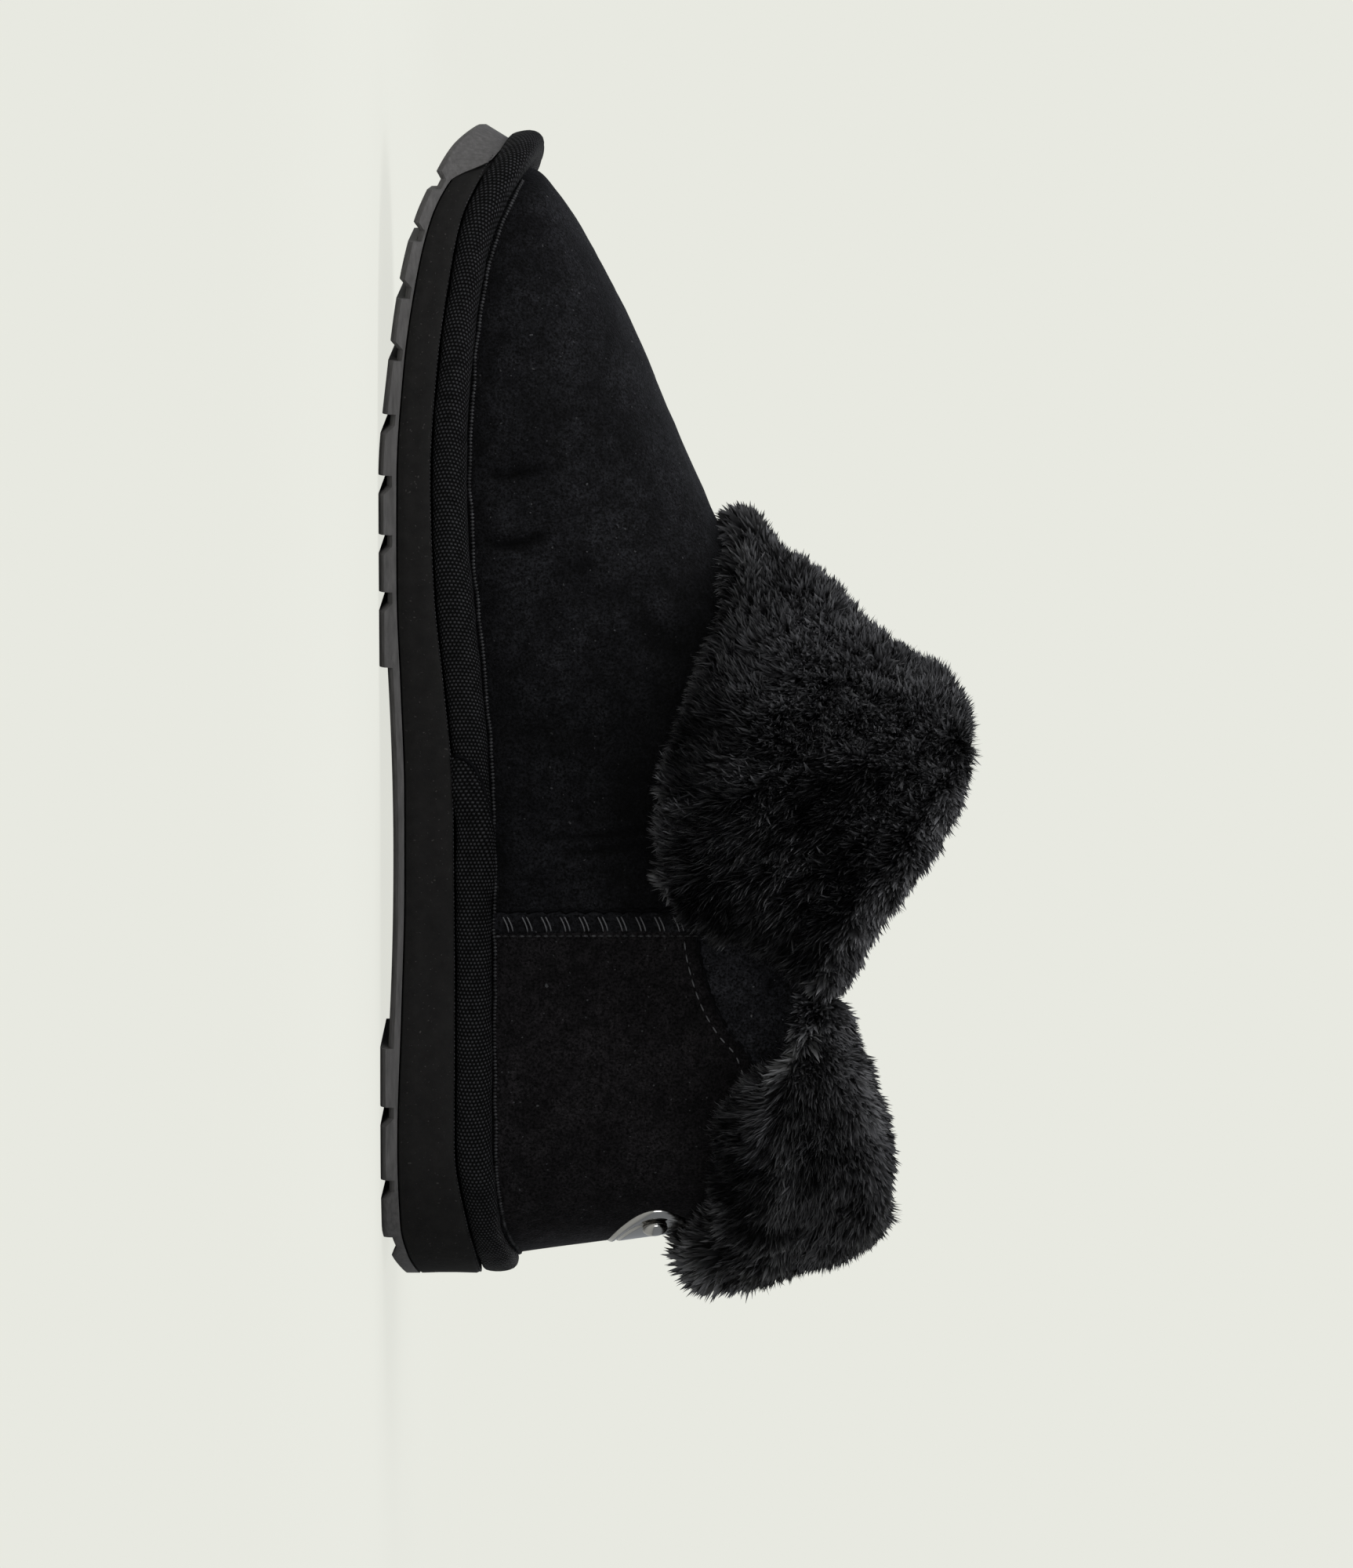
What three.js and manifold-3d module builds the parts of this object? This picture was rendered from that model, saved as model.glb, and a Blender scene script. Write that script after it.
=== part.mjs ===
// A woman's sheepskin ankle boot for the right foot, in millimetres, +Z up.
// The toe points to -Y and the inner (medial) side of the foot faces +X. The boot stands on its tread at Z = 0.
//
// A rubber outsole with lugs and a toe bumper, a foam wedge midsole, a tape-bound welt, one hollow sheepskin upper,
// an insole, two fur cuffs folded down over the ankle, and a metal plate with two rivets at the back of the heel.
//
// Places are given along the foot, in millimetres from the back of the heel towards the toe, and as a turn round
// it: 0 at the back of the heel, pi at the toe, the medial side first.

import * as THREE from "three";
import { mergeVertices } from "three/addons/utils/BufferGeometryUtils.js";
import Module from "manifold-3d";

const wasm = await Module();
wasm.setup();

// ---- Driving dimensions ----

const LENGTH = 262.6; // the sole, from heel to toe tip
const HEEL_Y = 128.4; // Y of the heel's end, and
const AXIS_X = 2.1; // X of the heel's middle, which centre the boot's box on the origin
const GAP = 0.3; // between pieces that touch
const SLIVER = 0.02; // edges shorter than this are dropped after a cut
const STATIONS = 64; // points round the boot, an even number
const HALF_TURN = Math.PI;

const OUTSOLE_EDGE = { inset: 1.3, rise: 1.4 }; // the rounded lower edge of the rubber
const LUG_DEPTH = 1.8;
const GROOVE_WIDTH = 2.4;
const GROOVE_SWEEP = 0.16; // how far a groove runs towards the toe, for each millimetre in from the edge
const HEEL_GROOVES = [8.3, 21.6, 38.1];
const FOREFOOT_GROOVES = [153.5, 166.2, 179.4, 193, 207.4, 221.4, 234.4, 246.5];
const ARCH = { from: 52.5, to: 138 }; // the waist of the tread, with no lugs
const ARCH_RISE = { ends: LUG_DEPTH, middle: 2.9 };

const MIDSOLE_BRIM = 0.93; // share of the foam's height below its rounded upper edge
const INSOLE_THICKNESS = 6.4;

const BASE = { back: 5.6, front: 252.6, inset: 6.2 }; // where the upper meets the welt
const HEEL_LEAN = 0.14; // the heel's back line leans forward this much for each millimetre up
const LEAN_REACH = 90; // along the foot, until that lean has died out
const DOME_POWER = 2.3; // how full the vamp's cross-section is: 2 is an ellipse
const SHAFT_HALF_WIDTH = 37.5;
const SHAFT_BLEND = { from: 38, to: 108 }; // heights between which the foot's shape turns into the shaft's
const WALL = { foot: 5.5, collar: 12 }; // skin and the pile that lines it
const UPPER_LEVELS = [0, 0.025, 0.055, 0.09, 0.13, 0.18, 0.23, 0.28, 0.33, 0.385, 0.44, 0.5, 0.57, 0.64, 0.72, 0.8, 0.9, 1];

const CUFF_LIFT = 10; // how far the rolled fur stands above the collar's rim
const CUFF_ROWS = 7; // rows between a cuff's hem and the rim
const FRONT_CUFF_START = { rim: 84, hem: 75 }; // degrees from the heel to its rear edge
const BACK_CUFF_START = { rim: 81, hem: 79 };

const PLATE = { width: 34, height: 22, centre: 61.5, thickness: 1.3, divisions: 10 };
const RIVET = { radius: 2.9, height: 1.5, off_centre: 11.5 };

// ---- Tables: a row for each section ----

// The sole's plan: how far it reaches to each side of the axis. The toe's tip lies 6 mm to the medial side.
const PLAN = [
  { along: 0, medial: 0, lateral: 0 },
  { along: 2, medial: 11.5, lateral: 11.8 },
  { along: 6, medial: 19.4, lateral: 20 },
  { along: 14, medial: 27.6, lateral: 28.4 },
  { along: 28, medial: 33.4, lateral: 34.6 },
  { along: 50, medial: 34.8, lateral: 36.6 },
  { along: 75, medial: 33.6, lateral: 37.4 },
  { along: 100, medial: 34, lateral: 39.8 },
  { along: 125, medial: 37, lateral: 43.6 },
  { along: 150, medial: 41.8, lateral: 47.6 },
  { along: 175, medial: 45.4, lateral: 50.4 },
  { along: 198, medial: 46.3, lateral: 50.6 },
  { along: 217, medial: 44.4, lateral: 46 },
  { along: 236, medial: 39.9, lateral: 37.2 },
  { along: 249.7, medial: 33.4, lateral: 27 },
  { along: 258.9, medial: 22.8, lateral: 12.6 },
  { along: LENGTH, medial: 6, lateral: -6 },
];

// The sole's layers: lug bottoms, the bond between rubber and foam, and the shelf that the welt sits on.
const LAYERS = [
  { along: 0, ground: 5, bond: 8, shelf: 21.7 },
  { along: 5, ground: 2, bond: 5.8, shelf: 20.8 },
  { along: 12, ground: 0, bond: 4.4, shelf: 19.2 },
  { along: 30, ground: 0, bond: 4, shelf: 16.5 },
  { along: 60, ground: 0, bond: 4.9, shelf: 16.6 },
  { along: 90, ground: 0, bond: 5.6, shelf: 16.4 },
  { along: 110, ground: 0, bond: 5.6, shelf: 16.2 },
  { along: 134, ground: 0, bond: 4.9, shelf: 14.2 },
  { along: 155, ground: 0, bond: 4.2, shelf: 12.2 },
  { along: 180, ground: 0, bond: 4.3, shelf: 11.5 },
  { along: 205, ground: 2.1, bond: 5.9, shelf: 13 },
  { along: 223, ground: 4.4, bond: 8.3, shelf: 15.3 },
  { along: 238, ground: 7.8, bond: 11.6, shelf: 18 },
  { along: 249, ground: 12.3, bond: 17, shelf: 22.5 },
  { along: 256, ground: 16, bond: 24.6, shelf: 26 },
  { along: LENGTH, ground: 22, bond: 27.2, shelf: 28.6 },
];

// The feather line, where the sheepskin comes out of the welt.
const FEATHER = [
  { along: 5.6, up: 30 },
  { along: 14, up: 26.6 },
  { along: 28, up: 25.4 },
  { along: 105, up: 25 },
  { along: 142, up: 22.5 },
  { along: 162, up: 20.6 },
  { along: 180, up: 19.9 },
  { along: 203, up: 20.8 },
  { along: 222, up: 23 },
  { along: 238, up: 27 },
  { along: 246, up: 30.4 },
  { along: 252.6, up: 34 },
];

// The upper's top line in profile: shaft, instep, vamp and toe. Behind the shaft it is out of reach of the dome.
const RIDGE = [
  { along: 40, up: 900 },
  { along: 100, up: 300 },
  { along: 124, up: 142 },
  { along: 131, up: 124 },
  { along: 137, up: 112.5 },
  { along: 144, up: 101.5 },
  { along: 152, up: 91.5 },
  { along: 160, up: 84 },
  { along: 168, up: 78.6 },
  { along: 187.6, up: 69.4 },
  { along: 202, up: 63.2 },
  { along: 216.4, up: 56.8 },
  { along: 230.8, up: 49.6 },
  { along: 238, up: 45.6 },
  { along: 245.2, up: 41 },
  { along: 249, up: 38.2 },
  { along: 251.5, up: 35.8 },
  { along: 252.6, up: 34 },
];

// The collar's rim, highest over the instep and lowest at the side slits.
const RIM = [
  { along: 12, up: 103 },
  { along: 25, up: 104.5 },
  { along: 40, up: 100.5 },
  { along: 60, up: 96 },
  { along: 72, up: 98 },
  { along: 85, up: 104 },
  { along: 97, up: 112 },
  { along: 110, up: 120 },
  { along: 122, up: 124 },
  { along: 131, up: 124 },
];

// The cuffs, by degrees from the back of the heel: the hem's height, the fur's depth at the hem and at the rim, and
// how far the hem hangs clear of the upper.
const FRONT_CUFF = [
  { angle: 75, hem: 62, low: 21, high: 18, clear: 3.5 },
  { angle: 82, hem: 58.5, low: 24, high: 20, clear: 4.5 },
  { angle: 92, hem: 58.5, low: 24.5, high: 21, clear: 4.5 },
  { angle: 108, hem: 65, low: 23.5, high: 19, clear: 3.5 },
  { angle: 132, hem: 73.5, low: 20, high: 14, clear: 1.8 },
  { angle: 156, hem: 78.5, low: 17, high: 10, clear: 1 },
  { angle: 180, hem: 80, low: 16, high: 8.5, clear: 1 },
];
const BACK_CUFF = [
  { angle: 0, hem: 67, low: 15.5, high: 11, clear: 3.2 },
  { angle: 15, hem: 68.5, low: 16.5, high: 12.5, clear: 3.2 },
  { angle: 36, hem: 75, low: 22, high: 18.5, clear: 3.4 },
  { angle: 53, hem: 81.5, low: 24, high: 21, clear: 3 },
  { angle: 70, hem: 88, low: 23.5, high: 21, clear: 2 },
  { angle: 81, hem: 91, low: 20, high: 18, clear: 1 },
];
const CUFF_SIDE_TUCK = 0.84; // how much of the depth is left at a flap's side edges

// A cuff's section over the rim. under and over are how far in from the upper's outer face its two faces lie, in
// walls, and high is the top face's height as a share of CUFF_LIFT.
const CUFF_ROLL = [
  { under: 0, over: -0.85, high: 0.72 },
  { under: 0.3, over: 0, high: 1 },
  { under: 0.65, over: 0.62, high: 0.84 },
  { under: 0.95, over: 1, high: 0.42 },
];

// The welt's section: out from the upper to the sole's edge, and up from the shelf to the feather line.
const WELT_SECTION = [
  { out: 0, up: 0 },
  { out: 0.84, up: 0 },
  { out: 1, up: 0.14 },
  { out: 1.04, up: 0.42 },
  { out: 0.98, up: 0.74 },
  { out: 0.76, up: 0.97 },
  { out: 0.42, up: 1.03 },
  { out: 0.12, up: 0.98 },
  { out: 0, up: 0.88 },
];

// ---- Curves ----

// A smooth curve through a table's rows that never overshoots them: the column's value at any value of the key.
function through(rows, key, column) {
  const xs = rows.map((row) => (typeof key === "function" ? key(row) : row[key]));
  const ys = rows.map((row) => row[column]);
  const slopes = xs.slice(1).map((x, i) => (ys[i + 1] - ys[i]) / (x - xs[i]));
  const tangents = xs.map((_, i) => {
    const before = slopes[i - 1] ?? slopes[0];
    const after = slopes[i] ?? slopes[slopes.length - 1];
    return before * after <= 0 ? 0 : (2 * before * after) / (before + after);
  });
  return (x) => {
    const at = THREE.MathUtils.clamp(x, xs[0], xs[xs.length - 1]);
    const i = Math.max(0, xs.findIndex((end) => end >= at) - 1);
    const span = xs[i + 1] - xs[i];
    const t = (at - xs[i]) / span;
    const bend = (t - 1) * (t - 1) * t * span * tangents[i] + (t - 1) * t * t * span * tangents[i + 1];
    return THREE.MathUtils.lerp(ys[i], ys[i + 1], t * t * (3 - 2 * t)) + bend;
  };
}

const alongAt = (turn, from, to) => from + ((to - from) * (1 - Math.cos(turn))) / 2;
const turnAt = (along, from, to) => Math.acos(THREE.MathUtils.clamp(1 - (2 * (along - from)) / (to - from), -1, 1));
const mix = THREE.MathUtils.lerp;
const ramp = THREE.MathUtils.smoothstep;

const medialAt = through(PLAN, (row) => turnAt(row.along, 0, LENGTH), "medial");
const lateralAt = through(PLAN, (row) => turnAt(row.along, 0, LENGTH), "lateral");
const groundAt = through(LAYERS, "along", "ground");
const bondAt = through(LAYERS, "along", "bond");
const shelfAt = through(LAYERS, "along", "shelf");
const featherAt = through(FEATHER, "along", "up");
const ridgeAt = through(RIDGE, "along", "up");
const rimAt = through(RIM, "along", "up");

// The root of a function that falls from above zero to below it between two values.
function fallsAt(fall, from, to) {
  let low = from;
  let high = to;
  for (let step = 0; step < 40; step++) {
    const middle = (low + high) / 2;
    if (fall(middle) > 0) low = middle;
    else high = middle;
  }
  return (low + high) / 2;
}

// ---- Forms ----

const place = (across, along, up) => new THREE.Vector3(across, HEEL_Y - along, up);
const alongOf = (point) => HEEL_Y - point.y;
const isMedial = (turn) => turn >= 0 && turn <= HALF_TURN;
const unsigned = (turn) => (turn < 0 ? -turn : turn > HALF_TURN ? 2 * HALF_TURN - turn : turn);

// The sole's edge at a turn round the foot, at height 0.
function edge(turn) {
  const folded = unsigned(turn);
  const across = isMedial(turn) ? medialAt(folded) : -lateralAt(folded);
  return place(across, alongAt(folded, 0, LENGTH), 0);
}

// The upper's foot, where it meets the welt, at height 0.
function base(turn) {
  const folded = unsigned(turn);
  const inset = BASE.inset * Math.sqrt(Math.sin(folded));
  const across = isMedial(turn) ? medialAt(folded) - inset : inset - lateralAt(folded);
  return place(across, alongAt(folded, BASE.back, BASE.front), 0);
}

// The same curve, moved sideways by a distance towards the inside of the boot.
function insetOf(curve, turn, inset) {
  const step = 0.02;
  const tangent = curve(turn + step).sub(curve(turn - step)).normalize();
  return curve(turn).add(new THREE.Vector3(-tangent.y, tangent.x, 0).multiplyScalar(-inset));
}

const levelAt = (along, level) => mix(featherAt(along), rimAt(along), level);

// The upper's outer face. level is 0 at the feather line and 1 at the collar's rim.
function skin(turn, level) {
  const folded = unsigned(turn);
  const front = fallsAt((along) => ridgeAt(along) - levelAt(along, level), RIM[RIM.length - 1].along - 4, BASE.front);
  const footAlong = alongAt(folded, BASE.back, front);
  const up = levelAt(footAlong, level);
  const footTurn = turnAt(footAlong, BASE.back, BASE.front);
  const centre = (medialAt(footTurn) - lateralAt(footTurn)) / 2;
  const half = (medialAt(footTurn) + lateralAt(footTurn)) / 2 - BASE.inset * Math.sqrt(Math.sin(footTurn));
  const rise = (up - featherAt(footAlong)) / Math.max(ridgeAt(footAlong) - featherAt(footAlong), 1e-6);
  const dome = Math.sqrt(1 - Math.min(rise, 1) ** DOME_POWER);
  const side = isMedial(turn) ? 1 : -1;
  const shaft = side * SHAFT_HALF_WIDTH * Math.sin(folded) ** 0.85;
  const across = mix(centre + side * half * (level > 0 ? dome : 1), shaft, ramp(up, SHAFT_BLEND.from, SHAFT_BLEND.to));
  const lean = HEEL_LEAN * (up - FEATHER[0].up) * Math.max(0, 1 - (footAlong - BASE.back) / LEAN_REACH) ** 2;
  return place(across, footAlong + Math.max(lean, 0), up);
}

// The outward normal of the upper's face, and the way up it.
function frameOf(turn, level) {
  const step = 0.01;
  const round = skin(turn + step, level).sub(skin(turn - step, level));
  const above = Math.min(level + step, 1);
  const up = skin(turn, above).sub(skin(turn, Math.max(above - 2 * step, 0))).normalize();
  return { out: up.clone().cross(round).normalize(), up };
}

const offSkin = (turn, level, distance) => skin(turn, level).addScaledVector(frameOf(turn, level).out, distance);
const wallAt = (level) => mix(WALL.foot, WALL.collar, ramp(level, 0.45, 1));

// ---- Solids ----

const turns = Array.from({ length: STATIONS }, (_, i) => (2 * HALF_TURN * i) / STATIONS);
const lifted = (point, up) => point.setZ(typeof up === "function" ? up(alongOf(point)) : up);

// A geometry from corner points and triangles, with shared corners merged and collapsed triangles dropped.
function geometryOf(points, triangles) {
  const raw = new THREE.BufferGeometry().setFromPoints(points).setIndex(triangles.flat());
  const merged = mergeVertices(raw, 1e-4);
  const corners = merged.index.array;
  const kept = [];
  for (let i = 0; i < corners.length; i += 3) {
    const [a, b, c] = corners.slice(i, i + 3);
    if (a !== b && b !== c && c !== a) kept.push(a, b, c);
  }
  merged.setIndex(kept);
  return merged;
}

// Closed loops of STATIONS points, skinned one to the next. A tube of loops closes on itself, and otherwise the
// first and last loops are filled straight across the boot.
function loft(loops, closesOnItself) {
  const triangles = [];
  const bands = closesOnItself ? loops.length : loops.length - 1;
  for (let k = 0; k < bands; k++)
    for (let j = 0; j < STATIONS; j++) {
      const next = (j + 1) % STATIONS;
      const [low, high] = [k * STATIONS, ((k + 1) % loops.length) * STATIONS];
      triangles.push([low + j, high + next, low + next], [low + j, high + j, high + next]);
    }
  const fill = (first, turned) => {
    for (let j = 0; j < STATIONS / 2; j++) {
      const [a, b] = [first + j, first + j + 1];
      const [c, d] = [first + ((STATIONS - j - 1) % STATIONS), first + ((STATIONS - j) % STATIONS)];
      const faces = [[a, c, b], [a, d, c]];
      triangles.push(...(turned ? faces.map(([p, q, r]) => [p, r, q]) : faces));
    }
  };
  if (!closesOnItself) {
    fill(0, true);
    fill((loops.length - 1) * STATIONS, false);
  }
  return geometryOf(loops.flat(), triangles);
}

// A sheet with thickness, between two grids of points of the same size.
function slab(inner, outer) {
  const [rows, columns] = [inner.length, inner[0].length];
  const size = rows * columns;
  const id = (row, column, face) => face * size + row * columns + column;
  const triangles = [];
  const quad = (a, b, c, d) => triangles.push([a, c, b], [a, d, c]);
  for (let r = 0; r < rows - 1; r++)
    for (let c = 0; c < columns - 1; c++) {
      quad(id(r, c, 1), id(r, c + 1, 1), id(r + 1, c + 1, 1), id(r + 1, c, 1));
      quad(id(r, c, 0), id(r + 1, c, 0), id(r + 1, c + 1, 0), id(r, c + 1, 0));
    }
  for (let r = 0; r < rows - 1; r++) {
    quad(id(r, 0, 0), id(r, 0, 1), id(r + 1, 0, 1), id(r + 1, 0, 0));
    quad(id(r, columns - 1, 0), id(r + 1, columns - 1, 0), id(r + 1, columns - 1, 1), id(r, columns - 1, 1));
  }
  for (let c = 0; c < columns - 1; c++) {
    quad(id(0, c, 0), id(0, c + 1, 0), id(0, c + 1, 1), id(0, c, 1));
    quad(id(rows - 1, c, 0), id(rows - 1, c, 1), id(rows - 1, c + 1, 1), id(rows - 1, c + 1, 0));
  }
  return geometryOf([...inner.flat(), ...outer.flat()], triangles);
}

function solidOf(geometry) {
  const bare = geometry.index ? geometry.clone() : mergeVertices(geometry, 1e-4);
  for (const name of Object.keys(bare.attributes)) if (name !== "position") bare.deleteAttribute(name);
  const merged = mergeVertices(bare, 1e-4);
  return new wasm.Manifold(
    new wasm.Mesh({
      numProp: 3,
      vertProperties: new Float32Array(merged.attributes.position.array),
      triVerts: new Uint32Array(merged.index.array),
    }),
  );
}

function geometryFrom(solid) {
  const mesh = solid.getMesh();
  return new THREE.BufferGeometry()
    .setAttribute("position", new THREE.BufferAttribute(new Float32Array(mesh.vertProperties), 3))
    .setIndex(new THREE.BufferAttribute(new Uint32Array(mesh.triVerts), 1));
}

const edgeLoop = (inset, up) => turns.map((turn) => lifted(insetOf(edge, turn, inset), up));
const baseLoop = (inset, up) => turns.map((turn) => lifted(insetOf(base, turn, inset), up));

// ---- Pieces ----

// One groove: two bars that meet on the axis, further forward there than at the edges.
function groove(along) {
  const reach = 60;
  const deep = groundAt(along) + LUG_DEPTH;
  const bars = [-1, 1].map((side) => {
    const bar = new THREE.BoxGeometry(reach, GROOVE_WIDTH, 12);
    bar.translate((side * reach) / 2, 0, deep - 6);
    bar.rotateZ(side * Math.atan(GROOVE_SWEEP));
    const apex = place(0, along + GROOVE_SWEEP * medialAt(turnAt(along, 0, LENGTH)), 0);
    bar.translate(apex.x, apex.y, 0);
    return solidOf(bar);
  });
  return bars[0].add(bars[1]);
}

// The tread's waist: everything below the arch's own underside, between the heel's lugs and the forefoot's.
function archHollow() {
  const shape = new THREE.Shape();
  const middle = (ARCH.from + ARCH.to) / 2;
  shape.moveTo(ARCH.from, -10);
  shape.lineTo(ARCH.from, ARCH_RISE.ends);
  shape.quadraticCurveTo(middle, 2 * ARCH_RISE.middle - ARCH_RISE.ends, ARCH.to, ARCH_RISE.ends);
  shape.lineTo(ARCH.to, -10);
  const width = 160;
  const hollow = new THREE.ExtrudeGeometry(shape, { depth: width, bevelEnabled: false, curveSegments: 10 });
  // The shape's X runs along the foot, so it turns to -Y, with its Y up and its depth across.
  hollow.applyMatrix4(new THREE.Matrix4().set(0, 0, -1, width / 2, -1, 0, 0, HEEL_Y, 0, 1, 0, 0, 0, 0, 0, 1));
  return solidOf(hollow);
}

function outsole() {
  const block = loft(
    [
      edgeLoop(OUTSOLE_EDGE.inset, groundAt),
      edgeLoop(0, (along) => groundAt(along) + OUTSOLE_EDGE.rise),
      edgeLoop(0, bondAt),
    ],
    false,
  );
  const cuts = [...HEEL_GROOVES, ...FOREFOOT_GROOVES].map(groove);
  const cut = [archHollow(), ...cuts].reduce((left, tool) => left.subtract(tool), solidOf(block));
  return geometryFrom(cut.simplify(SLIVER));
}

function midsole() {
  const bottom = (along) => bondAt(along) + GAP;
  const brim = (along) => mix(bottom(along), shelfAt(along), MIDSOLE_BRIM);
  return loft([edgeLoop(0, bottom), edgeLoop(0, brim), edgeLoop(0.5, shelfAt)], false);
}

function welt() {
  const loops = WELT_SECTION.map(({ out, up }) =>
    turns.map((turn) => {
      const inside = insetOf(base, turn, -GAP);
      const height = featherAt(alongOf(inside)) - shelfAt(alongOf(inside)) - GAP;
      const point = inside.lerp(edge(turn), out);
      return point.setZ(shelfAt(alongOf(point)) + GAP + up * height);
    }),
  );
  return loft(loops, true);
}

function insole() {
  const inset = WALL.foot + GAP;
  const bottom = (along) => shelfAt(along) + GAP;
  return loft(
    [
      baseLoop(inset, bottom),
      baseLoop(inset, (along) => bottom(along) + INSOLE_THICKNESS - 1.5),
      baseLoop(inset + 2, (along) => bottom(along) + INSOLE_THICKNESS),
    ],
    false,
  );
}

function upper() {
  const foot = (along) => shelfAt(along) + GAP;
  const outside = UPPER_LEVELS.map((level) => turns.map((turn) => skin(turn, level)));
  const inside = UPPER_LEVELS.map((level) => turns.map((turn) => offSkin(turn, level, -wallAt(level))));
  inside[0] = baseLoop(WALL.foot, featherAt);
  return loft([baseLoop(0, foot), ...outside, ...inside.reverse(), baseLoop(WALL.foot, foot)], true);
}

// One cuff, from its hem up the outside of the shaft and over the rim, between two turns.
function cuff(table, start, wraps, columns) {
  const column = (name) => through(table, "angle", name);
  const [hemAt, lowAt, highAt, clearAt] = ["hem", "low", "high", "clear"].map(column);
  const inner = [];
  const outer = [];
  for (let row = 0; row <= CUFF_ROWS; row++) {
    const rise = row / CUFF_ROWS;
    const edgeAngle = mix(start.hem, start.rim, Math.sqrt(rise));
    const angles = Array.from({ length: columns + 1 }, (_, i) => mix(edgeAngle, wraps - edgeAngle, i / columns));
    const sample = (angle, i) => {
      const folded = Math.abs(angle > 180 ? 360 - angle : angle);
      const turn = THREE.MathUtils.degToRad(angle);
      const hemLevel = fallsAt((level) => hemAt(folded) - skin(turn, level).z, 0, 1);
      const level = mix(hemLevel, 1, rise);
      const round = rise === 0 ? 0.74 : 1;
      const tuck = i === 0 || i === columns ? CUFF_SIDE_TUCK : 1;
      const depth = mix(lowAt(folded), highAt(folded), rise) * round * tuck;
      const clear = GAP + 0.1 + clearAt(folded) * (1 - rise) ** 1.5;
      return { inner: offSkin(turn, level, clear), outer: offSkin(turn, level, clear + depth) };
    };
    const points = angles.map(sample);
    inner.push(points.map((point) => point.inner));
    outer.push(points.map((point) => point.outer));
  }
  for (const { under, over, high } of CUFF_ROLL) {
    const angles = Array.from({ length: columns + 1 }, (_, i) => mix(start.rim, wraps - start.rim, i / columns));
    const above = (inward, height) => (angle) => {
      const turn = THREE.MathUtils.degToRad(angle);
      return offSkin(turn, 1, -inward * WALL.collar).addScaledVector(frameOf(turn, 1).up, height);
    };
    inner.push(angles.map(above(under, 2 * GAP)));
    outer.push(angles.map(above(over, high * CUFF_LIFT)));
  }
  return slab(inner, outer);
}

// The turn and level on the upper's face that lie at a distance across the heel's back and at a height.
function heelSpot(across, up) {
  const reach = HALF_TURN / 3;
  let level = 0.5;
  let turn = 0;
  for (let pass = 0; pass < 4; pass++) {
    level = fallsAt((tried) => up - skin(turn, tried).z, 0, 1);
    turn = Math.sign(across) * fallsAt((tried) => Math.abs(across) - Math.abs(skin(tried, level).x), 0, reach);
  }
  return { turn, level };
}

function heelPlate() {
  const steps = Array.from({ length: PLATE.divisions + 1 }, (_, i) => (2 * i) / PLATE.divisions - 1);
  // A square grid pulled in to an oval.
  const spots = steps.map((b) =>
    steps.map((a) =>
      heelSpot(
        (PLATE.width / 2) * a * Math.sqrt(1 - (b * b) / 2),
        PLATE.centre + (PLATE.height / 2) * b * Math.sqrt(1 - (a * a) / 2),
      ),
    ),
  );
  const face = (distance) => spots.map((row) => row.map(({ turn, level }) => offSkin(turn, level, distance)));
  return slab(face(GAP), face(GAP + PLATE.thickness));
}

function rivet(side) {
  const { turn, level } = heelSpot(side * RIVET.off_centre, PLATE.centre);
  const rounds = 5;
  const profile = Array.from({ length: rounds + 1 }, (_, i) => {
    const lift = (HALF_TURN / 2) * (1 - i / rounds);
    return new THREE.Vector2(RIVET.radius * Math.cos(lift), RIVET.height * Math.sin(lift));
  });
  profile[0].x = 0;
  const dome = new THREE.LatheGeometry([...profile, new THREE.Vector2(0, 0)].reverse(), 20);
  const out = frameOf(turn, level).out;
  const seat = PLATE.thickness + 2 * GAP + 0.15;
  dome.applyQuaternion(new THREE.Quaternion().setFromUnitVectors(new THREE.Vector3(0, 1, 0), out));
  const at = offSkin(turn, level, seat);
  return dome.translate(at.x, at.y, at.z);
}

// ---- Materials and assembly ----

const material = (color, roughness, metalness = 0) => new THREE.MeshStandardMaterial({ color, roughness, metalness });
const suede = material(0x17171a, 0.95);
const fur = material(0x0f0f11, 0.9);
const tape = material(0x1b1b1e, 0.8);
const foam = material(0x131314, 0.85);
const rubber = material(0x3b3a3c, 0.7);
const pile = material(0x121214, 0.95);
const nickel = material(0xc9c7c2, 0.25, 1);

const boot = new THREE.Group();
function add(name, geometry, finish) {
  const mesh = new THREE.Mesh(geometry.translate(AXIS_X, 0, 0), finish);
  mesh.name = name;
  boot.add(mesh);
}

add("outsole", outsole(), rubber);
add("midsole", midsole(), foam);
add("welt", welt(), tape);
add("insole", insole(), pile);
add("upper", upper(), suede);
add("front_cuff", cuff(FRONT_CUFF, FRONT_CUFF_START, 360, 34), fur);
add("back_cuff", cuff(BACK_CUFF, { rim: -BACK_CUFF_START.rim, hem: -BACK_CUFF_START.hem }, 0, 28), fur);
add("heel_plate", heelPlate(), nickel);
add("rivet_medial", rivet(1), nickel);
add("rivet_lateral", rivet(-1), nickel);

export default boot;
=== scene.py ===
"""The looks of a black sheepskin ankle boot, right foot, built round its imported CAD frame.

Lengths in this script are millimetres until a mesh is made. Places on the boot are given along the foot,
from the back of the heel towards the toe, up from the floor, and on the medial (+1) or lateral (-1) side.
"""

import math

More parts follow.
